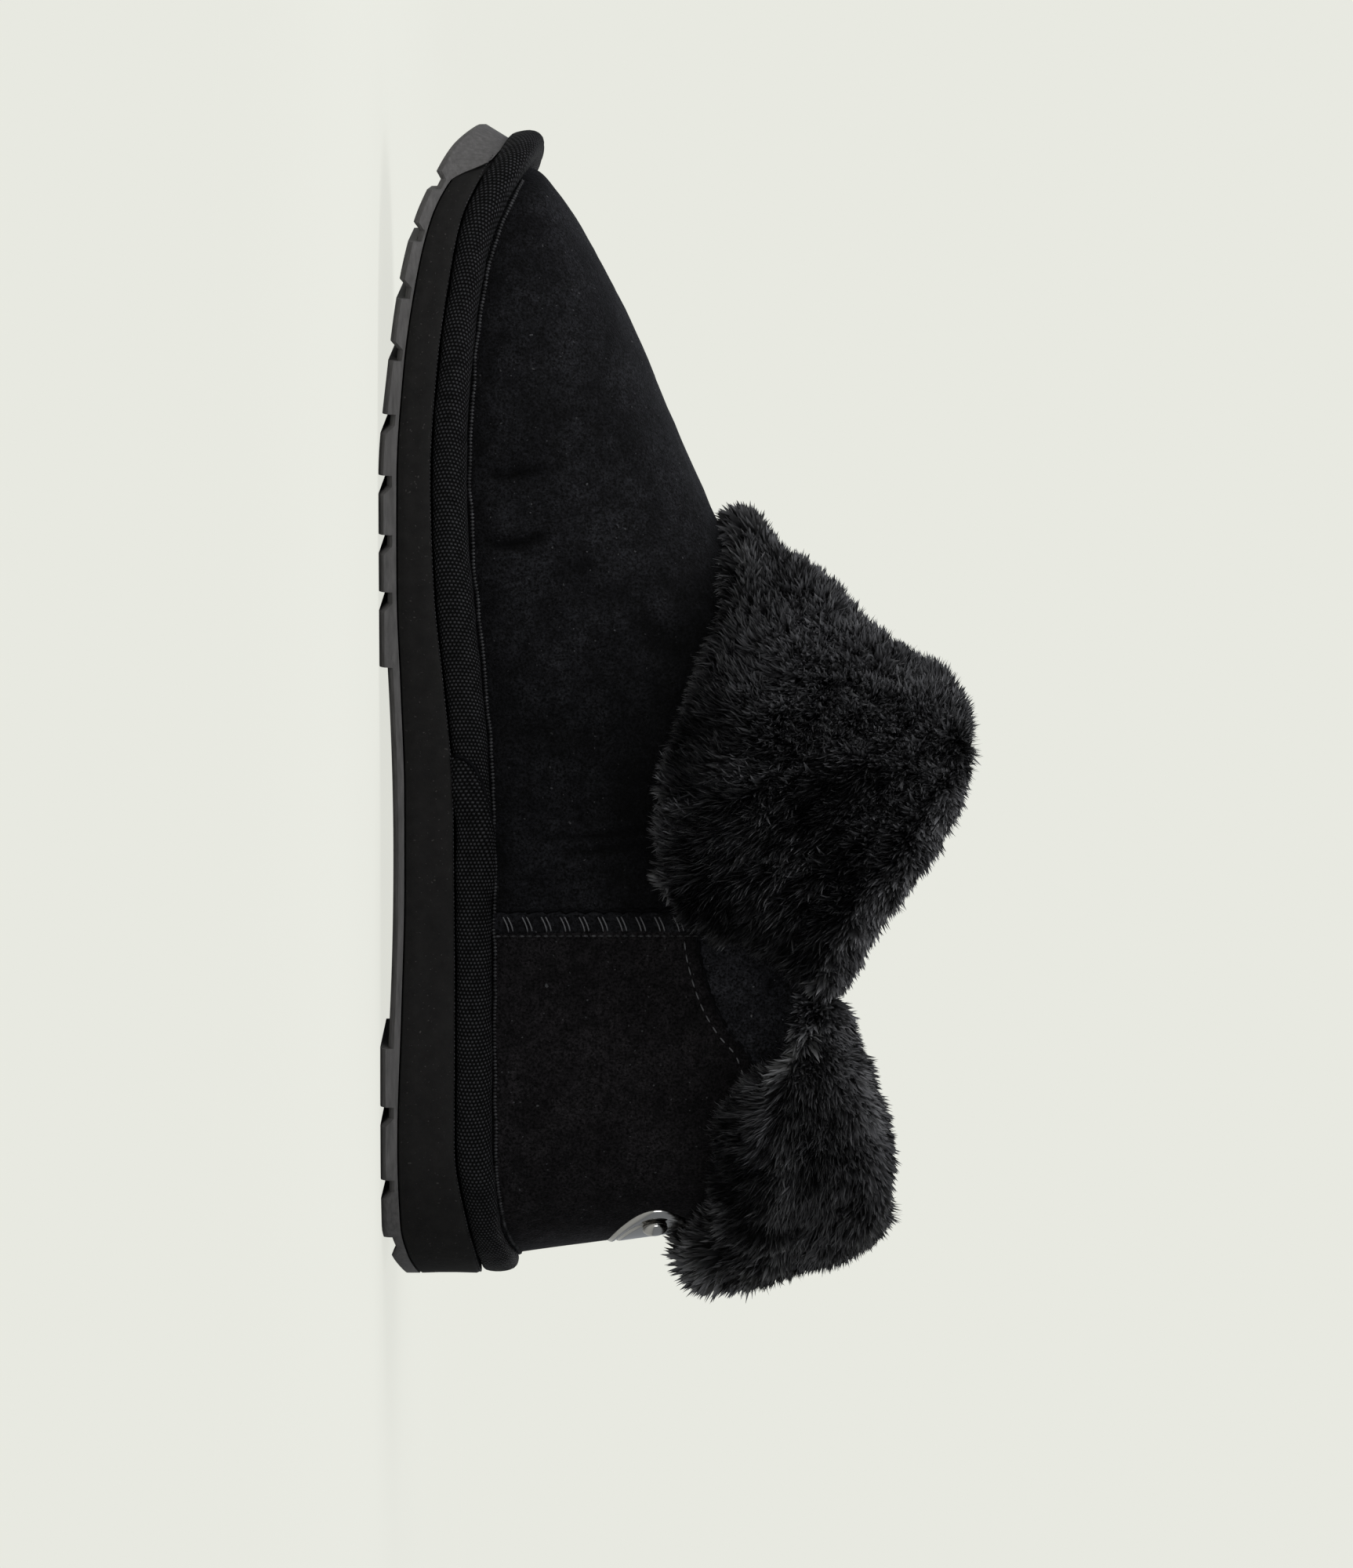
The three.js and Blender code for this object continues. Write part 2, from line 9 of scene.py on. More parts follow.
import bpy
import numpy as np
from mathutils import Matrix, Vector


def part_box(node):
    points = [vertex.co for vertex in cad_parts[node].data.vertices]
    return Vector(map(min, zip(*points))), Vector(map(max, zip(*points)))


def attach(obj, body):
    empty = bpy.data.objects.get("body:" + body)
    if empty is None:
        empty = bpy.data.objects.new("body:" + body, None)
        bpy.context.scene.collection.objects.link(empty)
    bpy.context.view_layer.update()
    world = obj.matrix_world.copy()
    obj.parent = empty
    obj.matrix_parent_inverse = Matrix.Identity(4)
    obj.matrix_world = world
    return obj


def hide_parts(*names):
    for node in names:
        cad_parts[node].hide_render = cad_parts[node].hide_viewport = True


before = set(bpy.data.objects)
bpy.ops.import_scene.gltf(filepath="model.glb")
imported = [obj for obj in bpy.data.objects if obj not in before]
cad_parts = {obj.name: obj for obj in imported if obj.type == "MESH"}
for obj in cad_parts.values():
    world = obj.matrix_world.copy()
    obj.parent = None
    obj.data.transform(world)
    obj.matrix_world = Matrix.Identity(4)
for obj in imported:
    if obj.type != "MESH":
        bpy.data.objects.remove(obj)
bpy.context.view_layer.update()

MM = 0.001
MEDIAL, LATERAL = 1, -1
PI = math.pi


def box_mm(node):
    low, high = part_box(node)
    return [v / MM for v in low], [v / MM for v in high]


def table(columns, *rows):
    """Rows of values under named columns."""
    return [dict(zip(columns.split(), row)) for row in rows]


# ---- The frame's own driving sizes ----

LENGTH = box_mm("outsole")[1][1] - box_mm("outsole")[0][1]
HEEL_Y = box_mm("outsole")[1][1]
AXIS_X = (box_mm("heel_plate")[0][0] + box_mm("heel_plate")[1][0]) / 2
BASE = {"back": 5.6, "front": LENGTH - 10, "inset": 6.2}
HEEL_LEAN, LEAN_REACH = 0.14, 90
DOME_POWER = 2.3
SHAFT_HALF_WIDTH = 37.5
SHAFT_BLEND = (38, 108)
WALL = {"foot": 5.5, "collar": 12}
GAP = 0.3
INSOLE_THICKNESS = 6.4
CUFF_LIFT = 10
PLATE = {"width": 34, "height": 22, "centre": 61.5, "thickness": 1.3, "rounding": 0.6, "groove": 0.4}
PLATE_GRID = 56  # points across the plate each way
RIVET = {"radius": 2.9, "height": 1.5, "off_centre": 11.5, "columns": 28}

PLAN = table(
    "along medial lateral",
    (0, 0, 0), (2, 11.5, 11.8), (6, 19.4, 20), (14, 27.6, 28.4), (28, 33.4, 34.6), (50, 34.8, 36.6),
    (75, 33.6, 37.4), (100, 34, 39.8), (125, 37, 43.6), (150, 41.8, 47.6), (175, 45.4, 50.4),
    (198, 46.3, 50.6), (217, 44.4, 46), (236, 39.9, 37.2), (249.7, 33.4, 27), (258.9, 22.8, 12.6),
    (LENGTH, 6, -6),
)
LAYERS = table(
    "along ground bond shelf",
    (0, 5, 8, 21.7),
    (5, 2, 5.8, 20.8),
    (12, 0, 4.4, 19.2),
    (30, 0, 4, 16.5),
    (60, 0, 4.9, 16.6),
    (90, 0, 5.6, 16.4),
    (110, 0, 5.6, 16.2),
    (134, 0, 4.9, 14.2),
    (155, 0, 4.2, 12.2),
    (180, 0, 4.3, 11.5),
    (205, 2.1, 5.9, 13),
    (223, 4.4, 8.3, 15.3),
    (238, 7.8, 11.6, 18),
    (249, 12.3, 17, 22.5),
    (256, 16, 24.6, 26),
    (LENGTH, 22, 27.2, 28.6),
)
FEATHER = table(
    "along up",
    (5.6, 30), (14, 26.6), (28, 25.4), (105, 25), (142, 22.5), (162, 20.6),
    (180, 19.9), (203, 20.8), (222, 23), (238, 27), (246, 30.4), (252.6, 34),
)
RIDGE = table(
    "along up",
    (40, 900), (100, 300), (124, 142), (131, 124), (137, 112.5), (144, 101.5),
    (152, 91.5), (160, 84), (168, 78.6), (187.6, 69.4), (202, 63.2), (216.4, 56.8),
    (230.8, 49.6), (238, 45.6), (245.2, 41), (249, 38.2), (251.5, 35.8), (252.6, 34),
)
RIM = table(
    "along up",
    (12, 103), (25, 104.5), (40, 100.5), (60, 96), (72, 98), (85, 104),
    (97, 112), (110, 120), (122, 124), (131, 124),
)
# "rise" is how far above the frame's hem the skin ends, so that the wool's tips come down to it.
FRONT_CUFF = {
    "sides": table(
        "rise angle",
        (0, 88), (0.35, 91), (0.8, 93), (1, 89.5),
    ),
    "rows": table(
        "angle hem rise low high clear",
        (75, 62, 13, 21, 18, 3.5),
        (82, 58.5, 12.5, 24, 20, 4.5),
        (92, 58.5, 12.5, 24.5, 20, 4.5),
        (108, 65, 11.5, 23.5, 17.5, 3.5),
        (132, 73.5, 8, 17.5, 9.5, 1.8),
        (156, 78.5, 2, 13.5, 6.5, 1),
        (180, 80, 0, 12, 5, 1),
    ),
}
BACK_CUFF = {
    "sides": table(
        "rise angle",
        (0, 76), (0.5, 81.5), (1, 84.5),
    ),
    "rows": table(
        "angle hem rise low high clear",
        (0, 67, 9, 13.5, 10, 3.2),
        (15, 68.5, 9, 15, 11.5, 3.2),
        (36, 75, 5, 21, 17, 3.4),
        (53, 81.5, 0.5, 23, 19.5, 3),
        (70, 88, 2, 22.5, 20, 2),
        (81, 91, 1, 19, 17, 1),
    ),
}

# ---- Sizes of what only this script makes ----

STATIONS = 288  # points round the boot
FINE_STATIONS = 760  # points round the suede, which shows its creases
SUEDE_ROWS = 64
SUEDE_SHARE, WOOL_SHARE = 0.35, 0.4  # how far into the wall the backs of the suede and of the wool side lie
PLAIN_TONE = 0.6  # the tone of the suede's hidden back
FUR_SUNK = 2.9  # how far under the cuff's outside the skin lies
# How a flap thins to its hem.
HEM = {"round": 3.0, "share": 0.5, "reach": 0.42, "corner": 6.0, "corner_reach": 7.0}
HEM_ROWS = 11
# Where the wool grows longer and wilder than elsewhere.
TUFTS = table(
    "along up reach extra",
    (172, 80, 7, 0.5),
    (136, 128, 6, 0.35),
    (67, 100, 8, 0.25),
    (1, 75, 9, 1.0),
)
# Spots of painted light and painted shade on the wool, where it is paler or darker than elsewhere.
WOOL_PAINTED_LIGHT = table(
    "along up reach extra",
    (152, 101, 25, 1.3),
    (118, 126, 16, 0.5),
    (105, 73, 18, 1.6),
    (42, 98, 18, 1.1),
    (17, 86, 14, 0.8),
)
FUR = {
    "slot": "cuff_fur", "length": 6.0, "width": 0.12, "lean": (0.55, 1.1), "tufts": TUFTS, "painted_light": WOOL_PAINTED_LIGHT,
}
PILE = {
    "slot": "lining_pile", "length": 4.0, "width": 0.4, "lean": (0.15, 0.3), "tufts": [], "painted_light": [],
}
FLOW = {"down": 0.5, "heel": 0.95}  # how the cuffs' wool was combed
PILE_FLOW = (0.1, 0.93, 0.3)
# "wraps" is the turn in degrees that a cuff is centred on, doubled; "strands" is for each half of its fur.
CUFFS = table(
    "name sizes wraps columns strands seed",
    ("front_cuff", FRONT_CUFF, 360, 120, 84000, 11),
    ("back_cuff", BACK_CUFF, 0, 96, 61000, 41),
)
LINING = {"strands": 20000, "seed": 71, "rows": 26, "columns": 120}
SEAM = {"along": 80.5, "width": 5.2, "height": 1.3, "low": 24.5, "high": 80}
SEAM_STITCH = {"pitch": 4.3, "pair": 1.0, "slant": 1.7}
THREAD = 0.36  # a stitch's diameter
SHADOW_LINE = 0.42  # the radius of the painted shadow lines where one edge lies on another
CHAIN = {"length": 1.5, "gap": 0.3, "bow": 0.35}
COUNTER = {"thickness": 1.0, "stitch_in": 2.5, "stitch": 2.1, "gap": 0.8}
COUNTER_END = SEAM["along"] - 1.0
COUNTER_TOP = table(
    "along up",
    (5.6, 88), (30, 87), (48.5, 82.9), (54.7, 78.4), (61, 75), (68.2, 72.6),
    (74.4, 71.3), (80, 70.8),
)
# Soft troughs pressed into the suede: where they start and end, how wide and how deep.
CREASES = table(
    "side from to width depth",
    (MEDIAL, (165.2, 25), (167.6, 38), 1.3, 1.5),
    (MEDIAL, (180.6, 25), (182.4, 36), 1.2, 1.2),
    (MEDIAL, (99.4, 38), (102.4, 64), 0.9, 0.9),
    (MEDIAL, (96.6, 40), (98.6, 60), 0.9, 0.8),
    (MEDIAL, (104, 42), (106, 60), 1.6, 0.35),
    (MEDIAL, (151, 58), (140, 70), 3.2, 0.8),
    (MEDIAL, (160, 62), (151, 72), 2.6, 0.5),
    (MEDIAL, (130, 27), (120, 50), 5, 0.5),
    (MEDIAL, (205, 34), (192, 48), 6, 0.35),
    (LATERAL, (170, 24), (176, 38), 1.6, 0.9),
    (LATERAL, (150, 26), (146, 44), 3.0, 0.6),
    (LATERAL, (98, 38), (102, 60), 1.2, 0.5),
    (LATERAL, (152, 58), (140, 72), 3.5, 0.8),
)
# Where the front flap's hem hangs over the suede, which has a painted shadow in its colour there.
FLAP_SHADE = table(
    "along up",
    (76, 62), (85, 57), (97.6, 55), (112, 57), (130, 63.5), (150, 72.5),
    (166, 79), (200, 100),
)
# The tape's end is cut to a tongue: its tip is "along" from the heel, and it falls back with height.
TAPE_JOIN = {"along": 118.5, "straight": 2.5, "curved": 13, "rise": 1.0, "fade": 16}
WEAVE = {"pick": 0.84, "yarn": 0.92, "shift": 0.4}
TAPE_EDGE = {"radius": 0.56, "stitch": 0.7, "gap": 0.1, "bow": 0.12, "ends": 9}
TAPE_FOOT = {"radius": 0.15, "stitch": 0.6, "gap": 0.35, "bow": 0.05}
GROOVES = [8.3, 21.6, 38.1, 153.5, 166.2, 179.4, 193, 207.4, 221.4, 234.4, 246.5]
TURNED_GROOVES = 200  # beyond here it is a groove's toe side that slopes
GROOVE = {"width": 2.5, "depth": 1.9, "bevel": 1.9, "sweep": 0.16}
MIDSOLE_WALL = table(
    "share inset",
    (0.03, 0.0), (0.3, 0.12), (0.6, 0.12), (0.93, 0.0), (0.98, 0.3), (1.0, 1.0),
)
KERF = 0.03  # how far the corners of the tread's cuts lie to each side of their places
TREAD_EDGE = {"share": 0.92, "round": 1.3}
# Where the tread wraps up over the foam at the toe, and how far in the foam lies there.
BUMPER = {"from": 247, "slant": 3.4, "tuck": 1.6, "clear": 0.4}
ARCH = {"from": 52.5, "to": 138, "ends": 1.8, "middle": 2.9}

PALE = (0.807, 0.815, 0.753)  # the studio's floor and backdrop
AMBIENT = {"color": (0.9, 0.95, 1.0, 1), "strength": 0.32}
# The floor, its shade and the lights are in metres.
FLOOR_REACH = 4.0
SHADE_ON_FLOOR = {"From_Min": 0.1, "From_Max": 0.6, "To_Min": 0.12, "To_Max": 0.0}
LIGHTS = table(
    "name place size power",
    ("top", (0.35, -0.5, 1.5), 1.0, 18),
    ("toe", (1.1, -1.6, 0.7), 0.9, 18),
    ("side", (1.9, 0.6, 0.5), 0.9, 9),
    ("far", (-1.5, 0.5, 0.9), 1.2, 8),
)
VIEW_DISTANCE = 1600
VIEW_HEIGHT = 360  # how much the view takes in at the boot, on its longer side
AIM = {"along": 112, "up": 66.6}


# ---- Curves and forms, the same as the frame's ----


def through(rows, key, column):
    """A smooth curve through a table's rows that never overshoots them."""
    xs = np.array([key(row) if callable(key) else row[key] for row in rows], float)
    ys = np.array([row[column] for row in rows], float)
    spans = np.diff(xs)
    slopes = np.diff(ys) / spans
    before, after = np.r_[slopes[0], slopes], np.r_[slopes, slopes[-1]]
    same = before * after > 0
    tangents = np.where(same, 2 * before * after / np.where(same, before + after, 1), 0)

    def curve(x):
        at = np.clip(x, xs[0], xs[-1])
        i = np.clip(np.searchsorted(xs, at) - 1, 0, len(spans) - 1)
        t = (at - xs[i]) / spans[i]
        bend = (t - 1) ** 2 * t * spans[i] * tangents[i] + (t - 1) * t**2 * spans[i] * tangents[i + 1]
        return ys[i] + (ys[i + 1] - ys[i]) * t * t * (3 - 2 * t) + bend

    return curve


def along_at(turn, start, end):
    return start + (end - start) * (1 - np.cos(turn)) / 2


def turn_at(along, start, end):
    return np.arccos(np.clip(1 - 2 * (along - start) / (end - start), -1, 1))


def ramp(x, low, high):
    t = np.clip((x - low) / (high - low), 0, 1)
    return t * t * (3 - 2 * t)


def mix(a, b, t):
    return a + (b - a) * t


def unit(v):
    return v / np.maximum(np.linalg.norm(v, axis=-1, keepdims=True), 1e-9)


def plan_turn(row):
    return float(turn_at(row["along"], 0, LENGTH))


medial_at = through(PLAN, plan_turn, "medial")
lateral_at = through(PLAN, plan_turn, "lateral")
ground_at = through(LAYERS, "along", "ground")
bond_at = through(LAYERS, "along", "bond")
shelf_at = through(LAYERS, "along", "shelf")
feather_at = through(FEATHER, "along", "up")
ridge_at = through(RIDGE, "along", "up")
rim_at = through(RIM, "along", "up")
counter_top_at = through(COUNTER_TOP, "along", "up")
flap_shade_at = through(FLAP_SHADE, "along", "up")


def place(across, along, up):
    across, along, up = np.broadcast_arrays(across, along, up)
    return np.stack([AXIS_X + across, HEEL_Y - along, up + 0.0], axis=-1)


def folded(turn):
    turn = np.mod(turn, 2 * PI)
    return np.where(turn > PI, 2 * PI - turn, turn), np.where(turn > PI, LATERAL, MEDIAL)


def edge(turn):
    """The sole's edge at height 0."""
    fold, side = folded(turn)
    across = np.where(side == MEDIAL, medial_at(fold), -lateral_at(fold))
    return place(across, along_at(fold, 0, LENGTH), 0)


def base(turn):
    """Where the upper meets the welt, at height 0."""
    fold, side = folded(turn)
    inset = BASE["inset"] * np.sqrt(np.sin(fold))
    across = np.where(side == MEDIAL, medial_at(fold) - inset, inset - lateral_at(fold))
    return place(across, along_at(fold, BASE["back"], BASE["front"]), 0)


def inset_of(curve, turn, inset):
    tangent = unit(curve(turn + 0.02) - curve(turn - 0.02))
    return curve(turn) - inset * np.stack([-tangent[..., 1], tangent[..., 0], 0 * tangent[..., 2]], axis=-1)


def along_of(points):
    return HEEL_Y - points[..., 1]


def at_height(points, up):
    lifted = points.copy()
    lifted[..., 2] = up
    return lifted


def on_shelf(loop, above=0):
    """A loop laid on top of the midsole, or above it."""
    return at_height(loop, shelf_at(along_of(loop)) + GAP + above)


def level_up(along, level):
    return mix(feather_at(along), rim_at(along), level)


def halved(low, high, steps, is_low):
    """Closes in on where is_low stops being true between low and high."""
    for _ in range(steps):
        middle = (low + high) / 2
        below = is_low(middle)
        low, high = np.where(below, middle, low), np.where(below, high, middle)
    return low, high


def fronts():
    """How far forward the upper reaches at each level, as a table to look up."""
    levels = np.linspace(0, 1, 400)
    start, end = np.full(400, RIM[-1]["along"] - 4.0), np.full(400, BASE["front"])
    low, high = halved(start, end, 40, lambda along: ridge_at(along) > level_up(along, levels))
    return levels, (low + high) / 2


LEVELS, FRONTS = fronts()


def front_at(level):
    return np.interp(level, LEVELS, FRONTS)


def skin(turn, level):
    """The upper's outer face. level is 0 at the feather line and 1 at the collar's rim."""
    turn, level = np.broadcast_arrays(np.asarray(turn, float), np.asarray(level, float))
    fold, side = folded(turn)
    foot = along_at(fold, BASE["back"], front_at(level))
    up = level_up(foot, level)
    foot_turn = turn_at(foot, BASE["back"], BASE["front"])
    medial, lateral = medial_at(foot_turn), lateral_at(foot_turn)
    half = (medial + lateral) / 2 - BASE["inset"] * np.sqrt(np.sin(foot_turn))
    rise = (up - feather_at(foot)) / np.maximum(ridge_at(foot) - feather_at(foot), 1e-6)
    dome = np.sqrt(1 - np.clip(rise, 0, 1) ** DOME_POWER)
    shaft = side * SHAFT_HALF_WIDTH * np.sin(fold) ** 0.85
    wide = (medial - lateral) / 2 + side * half * np.where(level > 0, dome, 1)
    across = mix(wide, shaft, ramp(up, *SHAFT_BLEND))
    near_heel = np.clip(1 - (foot - BASE["back"]) / LEAN_REACH, 0, None) ** 2
    lean = HEEL_LEAN * (up - FEATHER[0]["up"]) * near_heel
    return place(across, foot + np.clip(lean, 0, None), up)


def axes_of(turn, level):
    """The outward normal of the upper's face, and the way up it."""
    step = 0.01
    round_boot = skin(turn + step, level) - skin(turn - step, level)
    above = np.minimum(level + step, 1)
    up = unit(skin(turn, above) - skin(turn, np.maximum(above - 2 * step, 0)))
    return unit(np.cross(up, round_boot)), up


def off_skin(turn, level, distance):
    out, _ = axes_of(turn, level)
    return skin(turn, level) + np.asarray(distance)[..., None] * out


def wall_at(level):
    return mix(WALL["foot"], WALL["collar"], ramp(level, 0.45, 1))


def spot(along, up, side):
    """The turn and level of a place on the upper."""
    level = np.clip((up - feather_at(along)) / (rim_at(along) - feather_at(along)), 0, 1)
    fold = turn_at(along, BASE["back"], front_at(level))
    return np.where(np.asarray(side) > 0, fold, -fold), level


# ---- Meshes ----


def mesh_object(name, points, faces, material, uv=None, tone=None, smooth=True):
    """A joined mesh from points in millimetres and arrays of faces, each array of one number of corners."""
    faces = faces if isinstance(faces, list) else [faces]
    sides = np.concatenate([np.full(len(part), part.shape[1]) for part in faces])
    corners = np.concatenate([part.ravel() for part in faces]).astype(np.int32)
    mesh = bpy.data.meshes.new(name)
    mesh.vertices.add(len(points))
    mesh.vertices.foreach_set("co", (np.asarray(points) * MM).astype(np.float32).ravel())
    mesh.loops.add(len(corners))
    mesh.loops.foreach_set("vertex_index", corners)
    mesh.polygons.add(len(sides))
    mesh.polygons.foreach_set("loop_start", np.r_[0, np.cumsum(sides)[:-1]].astype(np.int32))
    mesh.polygons.foreach_set("use_smooth", np.full(len(sides), smooth))
    mesh.update(calc_edges=True)
    if uv is not None:
        layer = mesh.uv_layers.new(name="cloth")
        layer.data.foreach_set("uv", uv[corners].astype(np.float32).ravel())
    # vertex colours that carry painted shade and painted light, as well as the wool's own tones
    if tone is not None:
        colours = mesh.color_attributes.new("tone", "FLOAT_COLOR", "POINT")
        rgba = np.repeat(tone[:, None], 4, axis=1)
        rgba[:, 3] = 1
        colours.data.foreach_set("color", rgba.astype(np.float32).ravel())
    mesh.materials.append(material)
    piece = bpy.data.objects.new(name, mesh)
    bpy.context.scene.collection.objects.link(piece)
    return piece


def wear(piece, slot, *nodes):
    """A finished piece rides on the boot, and the frame's parts that it stands for are hidden."""
    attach(piece, "root")
    if nodes:
        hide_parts(*nodes)
    return piece


def quads(rows, columns, closed_rows=False, closed_columns=False):
    """The faces of a grid of points, facing out where rows go up and columns go round as the turn does."""
    r = np.arange(rows if closed_rows else rows - 1)
    c = np.arange(columns if closed_columns else columns - 1)
    r, c = (a.ravel() for a in np.meshgrid(r, c, indexing="ij"))
    r2, c2 = (r + 1) % rows, (c + 1) % columns
    return np.stack([r * columns + c, r2 * columns + c, r2 * columns + c2, r * columns + c2], axis=1)


def cap(first, columns, faces_up):
    """Fills a loop straight across the boot, medial side to lateral."""
    half = columns // 2
    j = np.arange(1, half - 1)
    strip = np.stack([first + j, first + columns - j, first + columns - j - 1, first + j + 1], axis=1)
    back = [first, first + columns - 1, first + 1]
    front = [first + half, first + half - 1, first + half + 1]
    ends = np.array([back, front])
    return [strip[:, ::-1], ends[:, ::-1]] if faces_up else [strip, ends]


def loft(name, loops, material, closed=False, **extra):
    """Skins a list of loops round the boot, and fills the ends unless the section closes on itself."""
    points = np.concatenate(loops)
    columns = len(loops[0])
    faces = [quads(len(loops), columns, closed_rows=closed, closed_columns=True)]
    if not closed:
        faces += cap(0, columns, False) + cap((len(loops) - 1) * columns, columns, True)
    return mesh_object(name, points, faces, material, **extra)


def shell(outer, inner):
    """Points and faces of a sheet with thickness, from the grids of its two faces."""
    rows, columns = outer.shape[:2]
    size = rows * columns
    ring = np.r_[
        np.arange(columns),
        np.arange(1, rows) * columns + columns - 1,
        (rows - 1) * columns + np.arange(columns - 2, -1, -1),
        np.arange(rows - 2, 0, -1) * columns,
    ]
    following = np.roll(ring, -1)
    rim = np.stack([ring, following, following + size, ring + size], axis=1)
    faces = [quads(rows, columns), quads(rows, columns)[:, ::-1] + size, rim]
    return np.concatenate([outer.reshape(-1, 3), inner.reshape(-1, 3)]), faces


def tubes(name, paths, radius, material, slot="upper_suede", node="upper"):
    """Many short round tubes with closed ends, as one piece, from an array of paths (tube, point, xyz)."""
    count, length = paths.shape[:2]
    tangent = unit(np.gradient(paths, axis=1))
    helper = np.where(np.abs(tangent[..., 2:3]) < 0.9, [0.0, 0.0, 1.0], [1.0, 0.0, 0.0])
    u = unit(np.cross(tangent, helper))
    v = np.cross(tangent, u)
    angle = np.linspace(0, 2 * PI, 6, endpoint=False)
    swell = np.sqrt(np.clip(1 - np.linspace(-1, 1, length) ** 6, 0.05, 1)) * radius
    ring = np.cos(angle)[:, None] * u[:, :, None] + np.sin(angle)[:, None] * v[:, :, None]
    points = paths[:, :, None] + ring * swell[None, :, None, None]
    sides = quads(length, 6, closed_columns=True)[:, ::-1]
    end = np.array([[0, 1, 2, 3], [0, 3, 4, 5]])
    tube = np.concatenate([sides, end[:, ::-1], end + (length - 1) * 6])
    offsets = (np.arange(count) * length * 6)[:, None, None]
    faces = (tube[None] + offsets).reshape(-1, 4)
    return wear(mesh_object(name, points.reshape(-1, 3), faces, material), slot, node)


def waves(points, wavelength, seed, count=7):
    """Smooth noise from -1 to 1 over points in space."""
    rng = np.random.default_rng(seed)
    directions = unit(rng.normal(size=(count, 3))) * (2 * PI / wavelength) * rng.uniform(0.6, 1.5, (count, 1))
    return np.sin(points @ directions.T + rng.uniform(0, 2 * PI, count)).sum(-1) / math.sqrt(count * 1.6)


# ---- Materials ----


def add_node(tree, kind, settings=None, **inputs):
    """A new node. Inputs go by name, or by number as i0 and i1, and take a value or another node's socket."""
    node = tree.nodes.new(kind)
    for key, value in (settings or {}).items():
        setattr(node, key, value)
    for key, value in inputs.items():
        numbered = key[0] == "i" and key[1:].isdigit()
        socket = node.inputs[int(key[1:]) if numbered else key.replace("_", " ")]
        if isinstance(value, bpy.types.NodeSocket):
            tree.links.new(value, socket)
        else:
            socket.default_value = value
    return node


def grey(value):
    return (value, value, value)


class Finish:
    """A principled material with short names for its nodes."""

    def __init__(self, name, color, roughness, **sockets):
        self.material = bpy.data.materials.new(name)
        self.material.use_nodes = True
        self.tree = self.material.node_tree
        self.shader = self.tree.nodes["Principled BSDF"]
        self.shader.inputs["Base Color"].default_value = (*color, 1)
        self.shader.inputs["Roughness"].default_value = roughness
        for socket, value in sockets.items():
            self.shader.inputs[socket.replace("_", " ")].default_value = value

    def add(self, kind, settings=None, **inputs):
        return add_node(self.tree, kind, settings, **inputs)

    def math(self, operation, a, b=0.0):
        return self.add("ShaderNodeMath", {"operation": operation}, i0=a, i1=b).outputs[0]

    def place(self):
        return self.add("ShaderNodeTexCoord").outputs["Object"]

    # reads the vertex colours, with their painted shade and painted light
    def tone(self, output):
        return self.add("ShaderNodeAttribute", {"attribute_name": "tone"}).outputs[output]

    def noise(self, scale, detail=2.0, roughness=0.5, vector=None):
        at = vector or self.place()
        node = self.add("ShaderNodeTexNoise", Vector=at, Scale=scale, Detail=detail, Roughness=roughness)
        return node.outputs["Fac"]

    def ramp(self, value, low, high, dark, light):
        """A colour between dark and light as a value goes from low to high."""
        node = self.add("ShaderNodeValToRGB", Fac=value)
        stops = node.color_ramp.elements
        stops[0].position, stops[1].position = low, high
        stops[0].color, stops[1].color = (*dark, 1), (*light, 1)
        return node.outputs["Color"]

    def tint(self, factor, a, b, blend="MIX"):
        settings = {"data_type": "RGBA", "blend_type": blend}
        return self.add("ShaderNodeMix", settings, i0=factor, i6=a, i7=b).outputs[2]

    def link(self, output, socket):
        self.tree.links.new(output, self.shader.inputs[socket])

    def bumps(self, *layers):
        """Bump layers as (height socket, distance in millimetres, strength)."""
        below = {}
        for height, distance, strength in layers:
            size = {"Distance": distance * MM, "Strength": strength}
            node = self.add("ShaderNodeBump", Height=height, **size, **below)
            below = {"Normal": node.outputs["Normal"]}
        self.link(below["Normal"], "Normal")


def suede(name, warm, with_painted_shade=False):
    """Napped suede: soft patches under a fine grain, with lint. One with painted shade has the painted shade
    and painted light of its vertex colours multiplied into its colour.
    """
    dark = (0.0034, 0.003, 0.0033) if warm else (0.0022, 0.0022, 0.0026)
    light = (0.008, 0.0072, 0.0077) if warm else (0.0068, 0.0069, 0.0078)
    f = Finish(name, light, 0.95, Sheen_Weight=0.045, Sheen_Roughness=0.35, Specular_IOR_Level=0.08)
    f.shader.inputs["Sheen Tint"].default_value = (0.75, 0.78, 0.9, 1)
    nap = f.ramp(f.noise(85, 5, 0.7), 0.36, 0.66, dark, light)
    grain = f.noise(1700, 2, 0.75)
    nap = f.tint(0.9, nap, f.ramp(grain, 0.36, 0.68, grey(0), (2.2, 2.2, 2.25)), "MULTIPLY")
    mottle = f.ramp(f.noise(380, 3, 0.6), 0.36, 0.66, grey(0.5), grey(1.5))
    nap = f.tint(0.7, nap, mottle, "MULTIPLY")
    lint = f.ramp(f.noise(1300, 0), 0.82, 0.85, grey(0), grey(1))
    nap = f.tint(lint, nap, (0.035, 0.035, 0.037, 1))
    # painted shade and painted light from the vertex colours
    if with_painted_shade:
        nap = f.tint(1.0, nap, f.tone("Color"), "MULTIPLY")
    f.link(nap, "Base Color")
    f.bumps((f.noise(260, 3), 0.4, 0.7), (grain, 0.3, 1.0))
    return f.material


